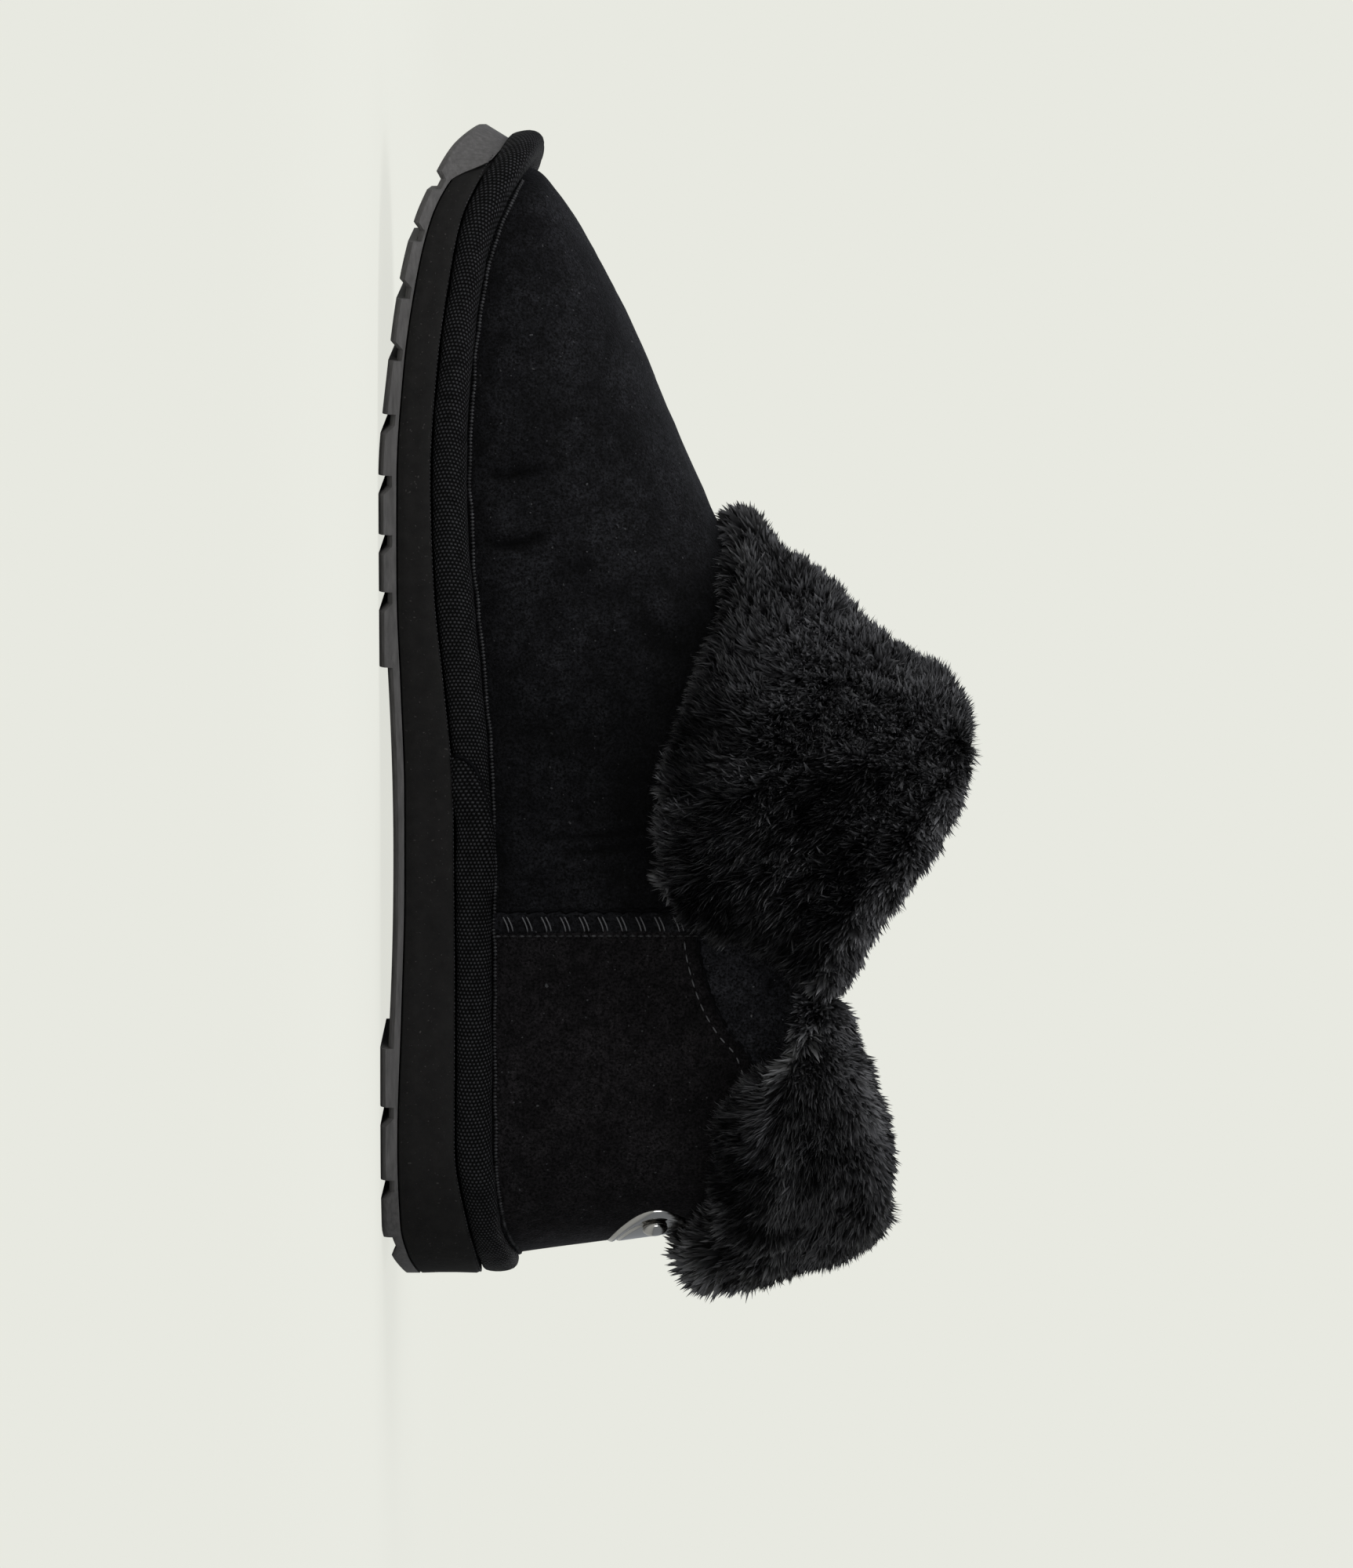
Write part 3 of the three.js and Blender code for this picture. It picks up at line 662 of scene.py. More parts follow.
def wool():
    """Wool strands: painted shade makes them dark at the skin and lighter at the tips; each has its own tone,
    and painted light in places.
    """
    root, tip = (0.0012, 0.0012, 0.0014), (0.125, 0.125, 0.132)
    f = Finish("wool", tip, 0.4, Specular_IOR_Level=0.42)
    f.link(f.ramp(f.tone("Fac"), 0.05, 0.95, root, tip), "Base Color")
    return f.material


def skin_under_fur():
    f = Finish("fur_base", (0.003, 0.003, 0.0034), 1.0, Specular_IOR_Level=0.05)
    dark, light = (0.0012, 0.0012, 0.0014), (0.0045, 0.0045, 0.0052)
    f.link(f.ramp(f.noise(400, 3), 0.3, 0.7, dark, light), "Base Color")
    f.bumps((f.noise(700, 3), 0.5, 1.0))
    return f.material


def woven_tape():
    """Tape woven of flat yarns, each row shifted so that they line up on the slant; its colour has painted
    shade in the dark gaps and painted highlights on the yarns' crowns.
    """
    f = Finish("woven_tape", (0.02, 0.02, 0.022), 0.7, Specular_IOR_Level=0.08)
    cloth = f.add("ShaderNodeUVMap", {"uv_map": "cloth"}).outputs["UV"]
    parts = f.add("ShaderNodeSeparateXYZ", i0=cloth)
    row = f.math("DIVIDE", parts.outputs["X"], WEAVE["pick"])
    shift = f.math("MULTIPLY", f.math("FLOOR", row), WEAVE["shift"])
    column = f.math("ADD", f.math("DIVIDE", parts.outputs["Y"], WEAVE["yarn"]), shift)
    dome_row = f.math("ABSOLUTE", f.math("SINE", f.math("MULTIPLY", row, PI)))
    dome_column = f.math("ABSOLUTE", f.math("SINE", f.math("MULTIPLY", column, PI)))
    yarns = f.math("MULTIPLY", f.math("POWER", dome_row, 0.8), f.math("POWER", dome_column, 0.8))
    # painted highlight on the yarns' crowns and painted shade in the gaps, with a random tone over both
    weave_light_and_tone = f.math("MULTIPLY", yarns, f.math("ADD", f.noise(420, 3), 0.5))
    f.link(f.ramp(weave_light_and_tone, 0.45, 0.95, (0.0001, 0.0001, 0.0002), (0.034, 0.034, 0.037)), "Base Color")
    f.bumps((yarns, 0.8, 1.0), (f.noise(2600, 2), 0.06, 0.6))
    return f.material


def foam():
    f = Finish("foam", (0.0105, 0.0102, 0.0102), 0.9, Specular_IOR_Level=0.15)
    specks = f.ramp(f.noise(1700, 1), 0.7, 0.78, grey(0), grey(1))
    body = f.ramp(f.noise(300, 4, 0.65), 0.3, 0.7, (0.0048, 0.0046, 0.0045), (0.0086, 0.0082, 0.0079))
    f.link(f.tint(specks, body, (0.032, 0.03, 0.029, 1)), "Base Color")
    f.bumps((f.noise(900, 3), 0.12, 0.6), (f.noise(3500, 2), 0.05, 0.5))
    return f.material


def tread_rubber():
    f = Finish("tread_rubber", (0.1, 0.096, 0.095), 0.6, Specular_IOR_Level=0.3)
    stretch = f.add("ShaderNodeMapping", Vector=f.place(), Scale=(1.0, 0.1, 1.0))
    lines = f.noise(1100, 3, 0.6, stretch.outputs[0])
    f.link(f.ramp(lines, 0.3, 0.72, (0.046, 0.044, 0.0435), (0.084, 0.0805, 0.08)), "Base Color")
    f.bumps((lines, 0.12, 0.5), (f.noise(1800, 2), 0.05, 0.4))
    return f.material


def thread():
    f = Finish("thread", (0.058, 0.058, 0.062), 0.5, Specular_IOR_Level=0.5)
    f.bumps((f.noise(3000, 2), 0.05, 0.6))
    return f.material


def selvage():
    f = Finish("selvage", (0.02, 0.02, 0.022), 0.7, Specular_IOR_Level=0.25)
    f.link(f.ramp(f.noise(900, 2), 0.35, 0.72, (0.0015, 0.0015, 0.0018), (0.042, 0.042, 0.045)), "Base Color")
    f.bumps((f.noise(2200, 2), 0.12, 0.8))
    return f.material


def polished_metal():
    f = Finish("polished_metal", (0.44, 0.43, 0.415), 0.2, Metallic=1.0)
    scratches = f.add("ShaderNodeMapping", Vector=f.place(), Scale=(0.2, 1.0, 3.0))
    marks = f.noise(1400, 4, 0.6, scratches.outputs[0])
    f.link(f.add("ShaderNodeMapRange", i0=marks, i3=0.06, i4=0.2).outputs[0], "Roughness")
    f.bumps((marks, 0.02, 0.25))
    return f.material


# ---- Pieces ----

TURNS = np.linspace(0, 2 * PI, STATIONS, endpoint=False)


def crease_depth(points, side_of_point):
    """How far the suede is pressed in at each point, with a soft ridge beside each trough."""
    depth = np.zeros(points.shape[:-1])
    along, up = along_of(points), points[..., 2]
    for crease in CREASES:
        start, end = np.array(crease["from"], float), np.array(crease["to"], float)
        way = end - start
        t = np.clip(((along - start[0]) * way[0] + (up - start[1]) * way[1]) / (way @ way), -0.2, 1.2)
        beside = (along - start[0] - t * way[0]) * way[1] - (up - start[1] - t * way[1]) * way[0]
        away = beside / np.linalg.norm(way) + 0.5 * crease["width"] * np.sin(4 * t)
        beyond = np.hypot(along - start[0] - t * way[0], up - start[1] - t * way[1])
        trough = np.exp(-((away / crease["width"]) ** 2))
        ridge = 0.5 * np.exp(-(((away - 2.2 * crease["width"]) / crease["width"]) ** 2))
        fade = np.sin(PI * np.clip(t * 0.9 + 0.08, 0, 1)) ** 0.7 * (beyond < 6 * crease["width"])
        depth += np.where(side_of_point == crease["side"], crease["depth"] * (trough - ridge) * fade, 0)
    return depth


def suede_painted_shade_and_light(points, pressed):
    """Painted shade and light in the suede's colour: painted shade in the creases, a painted shadow down by
    the tape and under the front flap's hem, and painted light above the heel panel.
    """
    along, up = along_of(points), points[..., 2]
    # painted shadow of the tape on the suede just above it
    tape_shadow = mix(0.55, 1.0, ramp(up - feather_at(along), 0, 9))
    # painted light on the suede above the heel panel's top, in the notch between the flaps
    collar = 1 + 1.2 * ramp(up - counter_top_at(along), -0.5, 0.5) * ramp(along, 79, 76)
    # painted shadow under the front flap's hem
    flap_shadow = 1 - 0.6 * ramp(up - flap_shade_at(along), -11, 0) * ramp(along, 72, 84)
    # painted shade in the creases
    return np.exp(-1.5 * pressed) * tape_shadow * collar * flap_shadow


def upper():
    """The suede, with its back just under the wool."""
    turns = np.linspace(0, 2 * PI, FINE_STATIONS, endpoint=False)
    turn, level = np.meshgrid(turns, np.linspace(0, 1, SUEDE_ROWS) ** 1.15)
    outer = skin(turn, level)
    normal, _ = axes_of(turn, level)
    _, side = folded(turn)
    soft = 0.3 * waves(outer, 55, 3) + 0.16 * waves(outer, 18, 4) + 0.06 * waves(outer, 6, 5)
    pressed = crease_depth(outer, side)
    press = soft * ramp(level, 0, 0.15) - pressed
    # painted shade in the creases, and painted shadow and painted light elsewhere, kept as vertex colours
    tone = suede_painted_shade_and_light(outer, np.clip(pressed, 0, None))
    outer = outer + normal * (press * ramp(level, 0, 0.02))[..., None]
    bottom = on_shelf(base(turns))
    turn, level = np.meshgrid(turns, np.linspace(1, 0.02, 12))
    inner = off_skin(turn, level, -SUEDE_SHARE * wall_at(level))
    low = on_shelf(inset_of(base, turns, 2.2))
    plain = np.full(FINE_STATIONS, PLAIN_TONE)
    tone = np.concatenate([plain, tone.ravel(), *[plain] * (len(inner) + 1)])
    finish = suede("vamp_suede", False, with_painted_shade=True)
    piece = loft("upper_suede", [bottom, *outer, *inner, low], finish, closed=True, tone=tone)
    return wear(piece, "upper_suede", "upper")


def lining():
    """The wool side of the skin, from the rim down to the insole."""
    levels = np.linspace(0.985, 0.0, 40)
    turn, level = np.meshgrid(TURNS, levels)
    face = off_skin(turn, np.maximum(level, 0.015), -wall_at(level))
    foot = inset_of(base, TURNS, WALL["foot"])
    face[-1] = at_height(foot, feather_at(along_of(foot)))
    bottom = on_shelf(foot)
    normal, _ = axes_of(turn, np.maximum(level, 0.015))
    face = face + normal * (0.5 * waves(face, 7, 5))[..., None] * ramp(level, 0.02, 0.1)[..., None]
    back = off_skin(turn, np.maximum(level, 0.015), -WOOL_SHARE * wall_at(level))[::-5]
    behind = on_shelf(inset_of(base, TURNS, 2.6))
    back[0] = at_height(behind, feather_at(along_of(behind)))
    piece = loft("lining_wool", [*face, bottom, behind, *back], PILE_BASE, closed=True)
    return wear(piece, "lining_pile", "upper")


def insole():
    """The footbed, with a rounded top edge."""
    side = WALL["foot"] + GAP
    top = INSOLE_THICKNESS
    rows = ((0, 0), (0, top - 1.8), (1.2, top - 0.5), (3, top))
    loops = [on_shelf(inset_of(base, TURNS, side + inset), up) for inset, up in rows]
    return wear(loft("insole_wool", loops, PILE_BASE), "lining_pile", "insole")


def midsole():
    ring = edge(TURNS)
    along = along_of(ring)
    low, high = bond_at(along) + GAP / 2, shelf_at(along) + GAP / 2
    tucked = BUMPER["tuck"] * ramp(along, BUMPER["from"], BUMPER["from"] + 6)
    tucked += (BUMPER["slant"] + BUMPER["clear"]) * ramp(along, BUMPER["from"] + 3, LENGTH)
    loops = [at_height(inset_of(edge, TURNS, 2.0), low), at_height(inset_of(edge, TURNS, 0.25), low)]
    for row in MIDSOLE_WALL:
        loops.append(at_height(inset_of(edge, TURNS, row["inset"]), mix(low, high, row["share"])))
    loops = [inset_loop(loop, tucked) for loop in loops]
    piece = loft("midsole_foam", loops, foam())
    return wear(piece, "midsole_foam", "midsole")


def inset_loop(loop, distance):
    """Moves a loop's points in from the sole's edge, each by its own distance."""
    inward = unit(inset_of(edge, TURNS, 1.0) - edge(TURNS))
    return loop + inward * distance[:, None]


def groove_depth(at):
    """How deep the tread is cut: square on one side of a groove, sloping on the other."""
    depth = np.zeros_like(at)
    for centre in GROOVES:
        x = (at - centre) * (-1 if centre > TURNED_GROOVES else 1)
        slope = np.clip((x + GROOVE["width"] / 2 + GROOVE["bevel"]) / GROOVE["bevel"], 0, 1)
        depth = np.maximum(depth, np.where(x < GROOVE["width"] / 2, slope, 0) * GROOVE["depth"])
    return depth


def outsole():
    """The tread as rows that run with the grooves, with a wall up to the foam and a flat top."""
    steps = (-GROOVE["width"] / 2 - GROOVE["bevel"], -GROOVE["width"] / 2, GROOVE["width"] / 2)
    beside = (-KERF, KERF)
    fine = [c + (-s if c > TURNED_GROOVES else s) + d for c in GROOVES for s in steps for d in beside]
    arch = [end + d for end in (ARCH["from"], ARCH["to"]) for d in beside]
    even = along_at(np.linspace(0.03, PI - 0.03, 170), 0, LENGTH)
    at = np.unique(np.round(np.r_[even, fine, arch], 3))
    at = at[(at > 0.05) & (at < LENGTH - 0.05)]
    turn = turn_at(at, 0, LENGTH)
    share = np.r_[-1, -0.985, -0.96, np.linspace(-0.92, 0.92, 21), 0.96, 0.985, 1]
    medial, lateral = edge(turn), edge(-turn)
    middle, half = (medial + lateral) / 2, (medial - lateral) / 2
    bottom = middle[:, None] + half[:, None] * share[None, :, None]
    ends = np.clip(np.minimum(at, LENGTH - at) / 25, 0, 1)
    bottom[..., 1] -= GROOVE["sweep"] * np.abs(half[:, :1]) * (1 - np.abs(share[None])) * ends[:, None]
    in_arch = (at > ARCH["from"]) & (at < ARCH["to"])
    t = (at - ARCH["from"]) / (ARCH["to"] - ARCH["from"])
    hollow = ARCH["ends"] + (ARCH["middle"] - ARCH["ends"]) * 4 * t * (1 - t)
    rise = np.where(in_arch, hollow, groove_depth(at))
    rounded = TREAD_EDGE["round"] * np.clip((np.abs(share) - TREAD_EDGE["share"]) / 0.08, 0, 1) ** 3
    bottom[..., 2] = (ground_at(at) + rise)[:, None] + rounded[None]
    wrap = ramp(at, BUMPER["from"], BUMPER["from"] + 7)
    top_up = np.maximum(mix(bond_at(at) - GAP / 2, shelf_at(at) + 0.2, wrap), bottom[:, 0, 2] + 0.4)
    slant = BUMPER["slant"] * ramp(at, BUMPER["from"], LENGTH)
    walls = []
    for rim, way in ((lateral, -1), (medial, 1)):
        inward = unit(inset_of(edge, way * turn, 1.0) - edge(way * turn))
        walls.append(at_height(rim + inward * slant[:, None], top_up))
    rows, columns = bottom.shape[:2]
    points = np.concatenate([bottom.reshape(-1, 3), *walls])
    r = np.arange(rows - 1)
    first, last = r * columns, r * columns + columns - 1
    lateral_top, medial_top = rows * columns + r, rows * columns + rows + r
    outline = np.arange(columns)
    back = np.r_[outline, medial_top[0], lateral_top[0]]
    front = np.r_[outline + (rows - 1) * columns, medial_top[-1] + 1, lateral_top[-1] + 1]
    faces = [
        quads(rows, columns),
        np.stack([first, lateral_top, lateral_top + 1, first + columns], axis=1),
        np.stack([last, last + columns, medial_top + 1, medial_top], axis=1),
        np.stack([lateral_top, medial_top, medial_top + 1, lateral_top + 1], axis=1),
        back[None],
        front[None, ::-1],
    ]
    piece = mesh_object("outsole_rubber", points, faces, tread_rubber(), smooth=False)
    return wear(piece, "outsole_rubber", "outsole")


# The tape's section round its filler: out from the upper to the sole's edge, and up from the foam to the
# feather line.
WELT_SECTION = table(
    "out up",
    (0, 0), (0.3, -0.01), (0.6, -0.01), (0.84, 0.02), (0.95, 0.09), (1.0, 0.2),
    (1.03, 0.34), (1.035, 0.48), (1.01, 0.63), (0.95, 0.77), (0.85, 0.89), (0.7, 0.98),
    (0.52, 1.03), (0.34, 1.04), (0.18, 1.01), (0.06, 0.95), (0, 0.86), (-0.02, 0.5),
)


def welt_point(turns, out, up):
    inside, rim = inset_of(base, turns, -GAP), edge(turns)
    height = feather_at(along_of(inside)) - shelf_at(along_of(inside)) - GAP / 2
    point = mix(inside, rim, out)
    point[:, 2] = shelf_at(along_of(point)) + GAP / 2 + up * height
    drawn_in = 1.2 * ramp(along_of(rim), LENGTH - 14, LENGTH) * max(out, 0)
    point[:, 1] += drawn_in
    return point


def tape_end(up):
    """How far from the heel the lapped end of the tape lies at a share of its height."""
    return TAPE_JOIN["along"] - TAPE_JOIN["straight"] * up - TAPE_JOIN["curved"] * max(up, 0) ** 4


def welt_section():
    """The section's outs and ups, at even steps between its rows."""
    count = len(WELT_SECTION)
    fine = np.linspace(0, count - 1, 40)
    return [np.interp(fine, range(count), [row[column] for row in WELT_SECTION]) for column in ("out", "up")]


def welt():
    """The woven tape rolled over its filler, with one end lapped over the other on the medial side."""
    join = float(turn_at(TAPE_JOIN["along"], 0, LENGTH))
    near = join + np.linspace(-0.2, 0.03, 150)
    turns = np.unique(np.r_[np.linspace(0, 2 * PI, 440, endpoint=False), near])
    travelled = np.r_[0, np.cumsum(np.linalg.norm(np.diff(edge(turns), axis=0), axis=1))]
    middle = welt_point(turns, 0.45, 0.5)
    loops, cloth, width = [], [], 0.0
    for out, up in zip(*welt_section()):
        point = welt_point(turns, out, up)
        past = tape_end(up) - along_of(point)
        fading = 1 - ramp(past, TAPE_JOIN["fade"] * 0.5, TAPE_JOIN["fade"])
        lap = ramp(past, 0, 0.5) * fading * (turns < PI)
        show = 1.0 if out > 0.1 else 0.0
        bumpy = 0.14 * waves(point, 14, 6) + 0.08 * waves(point, 5, 7)
        point = point + unit(point - middle) * (show * (TAPE_JOIN["rise"] * (lap - 0.5) + bumpy))[:, None]
        if loops:
            width += float(np.linalg.norm(point - loops[-1], axis=1).mean())
        loops.append(point)
        cloth.append(np.stack([travelled, np.full(len(turns), width)], axis=1))
    piece = loft("welt_tape", loops, woven_tape(), closed=True, uv=np.concatenate(cloth))
    return wear(piece, "welt_tape", "welt")


def tape_edges():
    """The tape's rough selvage along its top, and the stitches along its foot."""
    ring = np.linspace(0, 2 * PI, 3000)
    top = welt_point(ring, 0.12, 1.06)
    top = top + 0.2 * waves(top, 9, 8)[:, None] * [0, 0, 1]
    selvage = dashes(top, TAPE_EDGE["stitch"], TAPE_EDGE["gap"], TAPE_EDGE["bow"], steps=3)
    selvage = selvage[along_of(selvage[:, 0]) < BASE["front"] - TAPE_EDGE["ends"] / 2]
    tubes("tape_selvage", selvage, TAPE_EDGE["radius"], SELVAGE_FINISH, "welt_tape", "welt")
    foot = welt_point(ring, 0.93, 0.0)
    stitches = dashes(foot, TAPE_FOOT["stitch"], TAPE_FOOT["gap"], TAPE_FOOT["bow"], steps=3)
    stitches = stitches[along_of(stitches[:, 0]) < LENGTH - TAPE_EDGE["ends"]]
    tubes("tape_lower_stitches", stitches, TAPE_FOOT["radius"], SELVAGE_FINISH, "welt_tape", "welt")


def tape_end_shadow():
    """A painted shadow line under the lapped end's tongue."""
    outs, ups = welt_section()
    seen = (outs > 0.15) & (np.arange(len(outs)) > 4)
    line = []
    for out, up in zip(outs[seen], ups[seen]):
        turn = turn_at(np.array([tape_end(up) + 0.2]), 0, LENGTH)
        line.append(welt_point(turn, mix(0.45, out, 1.02), mix(0.5, up, 1.02))[0])
    tubes("tape_end_shadow", np.array([line]), SHADOW_LINE, FUR_BASE_AND_SHADOW, "welt_tape", "welt")


def counter():
    """The heel panel: a second layer of suede with a turned top edge."""
    columns, rows = 150, 34
    reach = np.linspace(-1, 1, columns)
    side = np.where(reach >= 0, MEDIAL, LATERAL)
    along = BASE["back"] + (COUNTER_END - BASE["back"]) * np.abs(reach) ** 1.7
    top = counter_top_at(along)
    up = mix((feather_at(along) - 0.5)[None], top[None], np.linspace(0, 1, rows)[:, None])
    turn, level = spot(np.broadcast_to(along, up.shape), up, np.broadcast_to(side, up.shape))
    bulge = COUNTER["thickness"] * np.clip((top[None] - up) / 0.8, 0.05, 1) ** 0.5
    turned = 0.35 * np.exp(-(((top[None] - up - 1.0) / 0.9) ** 2))
    pressed = 0.4 * np.exp(-(((top[None] - up - COUNTER["stitch_in"]) / 0.6) ** 2))
    outer = off_skin(turn, level, bulge + turned - pressed + 0.12 * waves(skin(turn, level), 22, 8))
    points, faces = shell(outer, off_skin(turn, level, -0.6))
    piece = mesh_object("heel_counter", points, faces, suede("counter_suede", True))
    return wear(piece, "upper_suede", "upper")


def counter_edge():
    """The stitches below the heel panel's top edge, and a painted shadow line in the gap above it."""
    stitches, shadows = [], []
    path = np.linspace(COUNTER_END - 3, 22, 400)
    for way in (MEDIAL, LATERAL):
        turn, level = spot(path, counter_top_at(path) - COUNTER["stitch_in"], way)
        line = off_skin(turn, level, COUNTER["thickness"] * 0.95)
        stitches.append(dashes(line, COUNTER["stitch"], COUNTER["gap"], 0.28))
        turn, level = spot(path, counter_top_at(path) + 0.45, way)
        shadows.append(dashes(off_skin(turn, level, 0.05), 3, 0.02, 0))
    tubes("counter_stitches", np.concatenate(stitches), THREAD / 2, THREAD_FINISH)
    # painted shadow: a dark line in the gap above the panel's edge
    tubes("counter_shadow", np.concatenate(shadows), 0.4, FUR_BASE_AND_SHADOW)


def dashes(line, length, gap, bow, steps=6):
    """Cuts a line into stitches that rise and dive a little at their ends."""
    travelled = np.r_[0, np.cumsum(np.linalg.norm(np.diff(line, axis=0), axis=1))]
    starts = np.arange(0, travelled[-1] - length, length + gap)
    at = starts[:, None] + np.linspace(0, length, steps)[None]
    paths = np.stack([np.interp(at, travelled, line[:, k]) for k in range(3)], axis=-1)
    out = unit(paths.mean(axis=1) * [1, 0.35, 0] - [AXIS_X, 0.35 * (HEEL_Y - 60), 0])
    arch = np.sin(np.linspace(0, PI, steps)) - 0.6
    return paths + out[:, None] * (bow * arch)[None, :, None]


def scallops(up):
    """How far the band's scalloped edge reaches at each height."""
    return 0.55 * np.abs(np.sin(PI * (up - SEAM["low"]) / SEAM_STITCH["pitch"])) ** 0.7


def seam_band(side, name):
    """A raised band over the join of vamp and counter, scalloped along its edge to the toe."""
    rows, columns = 240, 15
    half = SEAM["width"] / 2
    up = np.linspace(SEAM["low"], SEAM["high"], rows)
    share = np.linspace(-1, 1, columns)
    ahead = half - 0.45 + scallops(up)
    along = SEAM["along"] + np.where(share[None] > 0, share[None] * ahead[:, None], share[None] * half)
    turn, level = spot(along, np.broadcast_to(up[:, None], along.shape), side)
    dent = 0.35 * np.abs(np.cos(PI * (up - SEAM["low"]) / SEAM_STITCH["pitch"])) ** 6
    bead = 0.5 * np.exp(-(((share - 0.8) / 0.16) ** 2))
    profile = SEAM["height"] * np.sqrt(np.clip(1 - np.abs(share) ** 5, 0, 1)) + bead
    tucked = 0.4 * (np.abs(share[None]) == 1)
    outer = off_skin(turn, level, profile[None] - dent[:, None] * (1 - share[None] ** 2) - tucked)
    points, faces = shell(outer, off_skin(turn, level, -0.8))
    faces = faces if side == MEDIAL else [part[:, ::-1] for part in faces]
    piece = mesh_object(f"seam_band_{name}", points, faces, suede(f"seam_suede_{name}", False))
    return wear(piece, "upper_suede", "upper")


def seam_threads(side, name):
    """The band's slanted pairs of stitches, the chain behind it, and a painted shadow line in the gap before
    it.
    """
    half = SEAM["width"] / 2
    slants = []
    steps = np.linspace(0, 1, 7)
    for start in np.arange(SEAM["low"] + 2.6, SEAM["high"] - 3, SEAM_STITCH["pitch"]):
        for shift in (0, SEAM_STITCH["pair"]):
            reach = mix(-0.86, 0.84, steps) * SEAM["width"] / 2
            height = start + shift + SEAM_STITCH["slant"] * np.sin(PI / 2 * (1 - steps))
            turn, level = spot(SEAM["along"] + reach, height, side)
            slants.append(off_skin(turn, level, SEAM["height"] + 0.05 - 0.75 * np.abs(2 * steps - 1) ** 4))
    tubes(f"seam_stitches_{name}", np.array(slants), THREAD / 2, THREAD_FINISH)

    path = np.linspace(SEAM["low"] + 1, SEAM["high"], 300)
    turn, level = spot(np.full(300, SEAM["along"] - half - 0.25), path, side)
    chain = dashes(off_skin(turn, level, 1.0), CHAIN["length"], CHAIN["gap"], CHAIN["bow"])
    tubes(f"seam_chain_{name}", chain, THREAD * 0.7, SELVAGE_FINISH)

    # painted shadow: a dark line in the gap along the band's scalloped edge
    path = np.linspace(SEAM["low"] + 0.5, SEAM["high"], 500)
    turn, level = spot(SEAM["along"] + half - 0.15 + scallops(path), path, side)
    gap = dashes(off_skin(turn, level, 0.25), SEAM_STITCH["pitch"] * 0.85, 0.3, 0.1, steps=9)
    tubes(f"seam_shadow_{name}", gap, SHADOW_LINE, FUR_BASE_AND_SHADOW)


# ---- Fur ----


def cuff_body(cuff, wraps, columns):
    """The form that a cuff's wool grows on, row by row round its section, and which rows have wool."""
    columns_used = ("hem", "rise", "low", "high", "clear")
    hem_at, rise_at, low_at, high_at, clear_at = (through(cuff["rows"], "angle", c) for c in columns_used)
    side_at = through(cuff["sides"], "rise", "angle")
    share = np.linspace(-1, 1, columns)
    squeeze = (1 - np.abs(share) ** 9) ** 0.5

    def sheet(rise):
        side = float(side_at(rise))
        half = 180 - side if wraps else side
        angle = wraps / 2 + half * share
        bent = np.abs(np.where(angle > 180, 360 - angle, angle))
        return np.radians(angle), bent, half * (1 - np.abs(share))

    def hem_level(turn, bent, from_side):
        def is_below(level):
            return skin(turn, level)[..., 2] < hem_at(bent)

        low, _ = halved(np.zeros(columns), np.ones(columns), 24, is_below)
        a_step = np.linalg.norm(skin(turn, low + 0.01) - skin(turn, low), axis=-1) / 0.01
        corner = HEM["corner"] * np.exp(-((from_side / HEM["corner_reach"]) ** 2))
        return low + (rise_at(bent) + corner) / a_step

    def point(rise, out_share, drop=0.0):
        turn, bent, from_side = sheet(rise)
        level = mix(hem_level(turn, bent, from_side), 1, rise)
        taper = 1 - 0.25 * ramp(bent, 104, 150) * (1 - rise) ** 4
        depth = (mix(low_at(bent), high_at(bent), rise) - FUR_SUNK) * (0.35 + 0.65 * squeeze) * taper
        clear = GAP + 0.4 + clear_at(bent) * (1 - rise) ** 1.5
        out, up = axes_of(turn, level)
        return skin(turn, level) + out * (clear + depth * out_share)[:, None] - up * (drop * squeeze)[:, None]

    def thins(rise):
        return 1 - (1 - HEM["share"]) * max(1 - rise / HEM["reach"], 0) ** 2

    def over(swing):
        turn, bent, _ = sheet(1)
        out, up = axes_of(turn, np.ones(columns))
        outer, inner = high_at(bent) - FUR_SUNK, WALL["collar"] - 0.4
        centre, radius = (outer - inner) / 2, (outer + inner) / 2
        reach = centre + radius * math.cos(swing) * (0.4 + 0.6 * squeeze)
        lift = 0.6 + (CUFF_LIFT - FUR_SUNK * 0.8) * max(math.sin(swing), 0) ** 0.8 * (0.45 + 0.55 * squeeze)
        return skin(turn, np.ones(columns)) + out * reach[:, None] + up * lift[:, None]

    def under(share_in):
        turn, _, _ = sheet(1)
        out, up = axes_of(turn, np.ones(columns))
        return skin(turn, np.ones(columns)) - out * (WALL["collar"] - 0.6) * share_in + up * 0.6

    down = [point(rise, 0.0) for rise in np.linspace(1, 0, 10)]
    half_turn = np.linspace(0, PI, HEM_ROWS + 2)[1:-1]
    hem = [point(0.0, HEM["share"] * (1 - math.cos(a)) / 2, HEM["round"] * math.sin(a)) for a in half_turn]
    rises = np.linspace(0.01, 0.97, 24)
    outside = [point(rise, thins(rise) + 0.03 * math.sin(PI * rise)) for rise in rises]
    roll = [over(swing) for swing in np.linspace(0.2, PI, 15)]
    back = [under(s) for s in (0.9, 0.6, 0.3)]
    rows = [*down, *hem, *outside, *roll, *back]
    furred = np.arange(len(rows))
    furred = (furred >= len(down) - 2) & (furred < len(rows) - len(back))
    return np.array(rows), furred


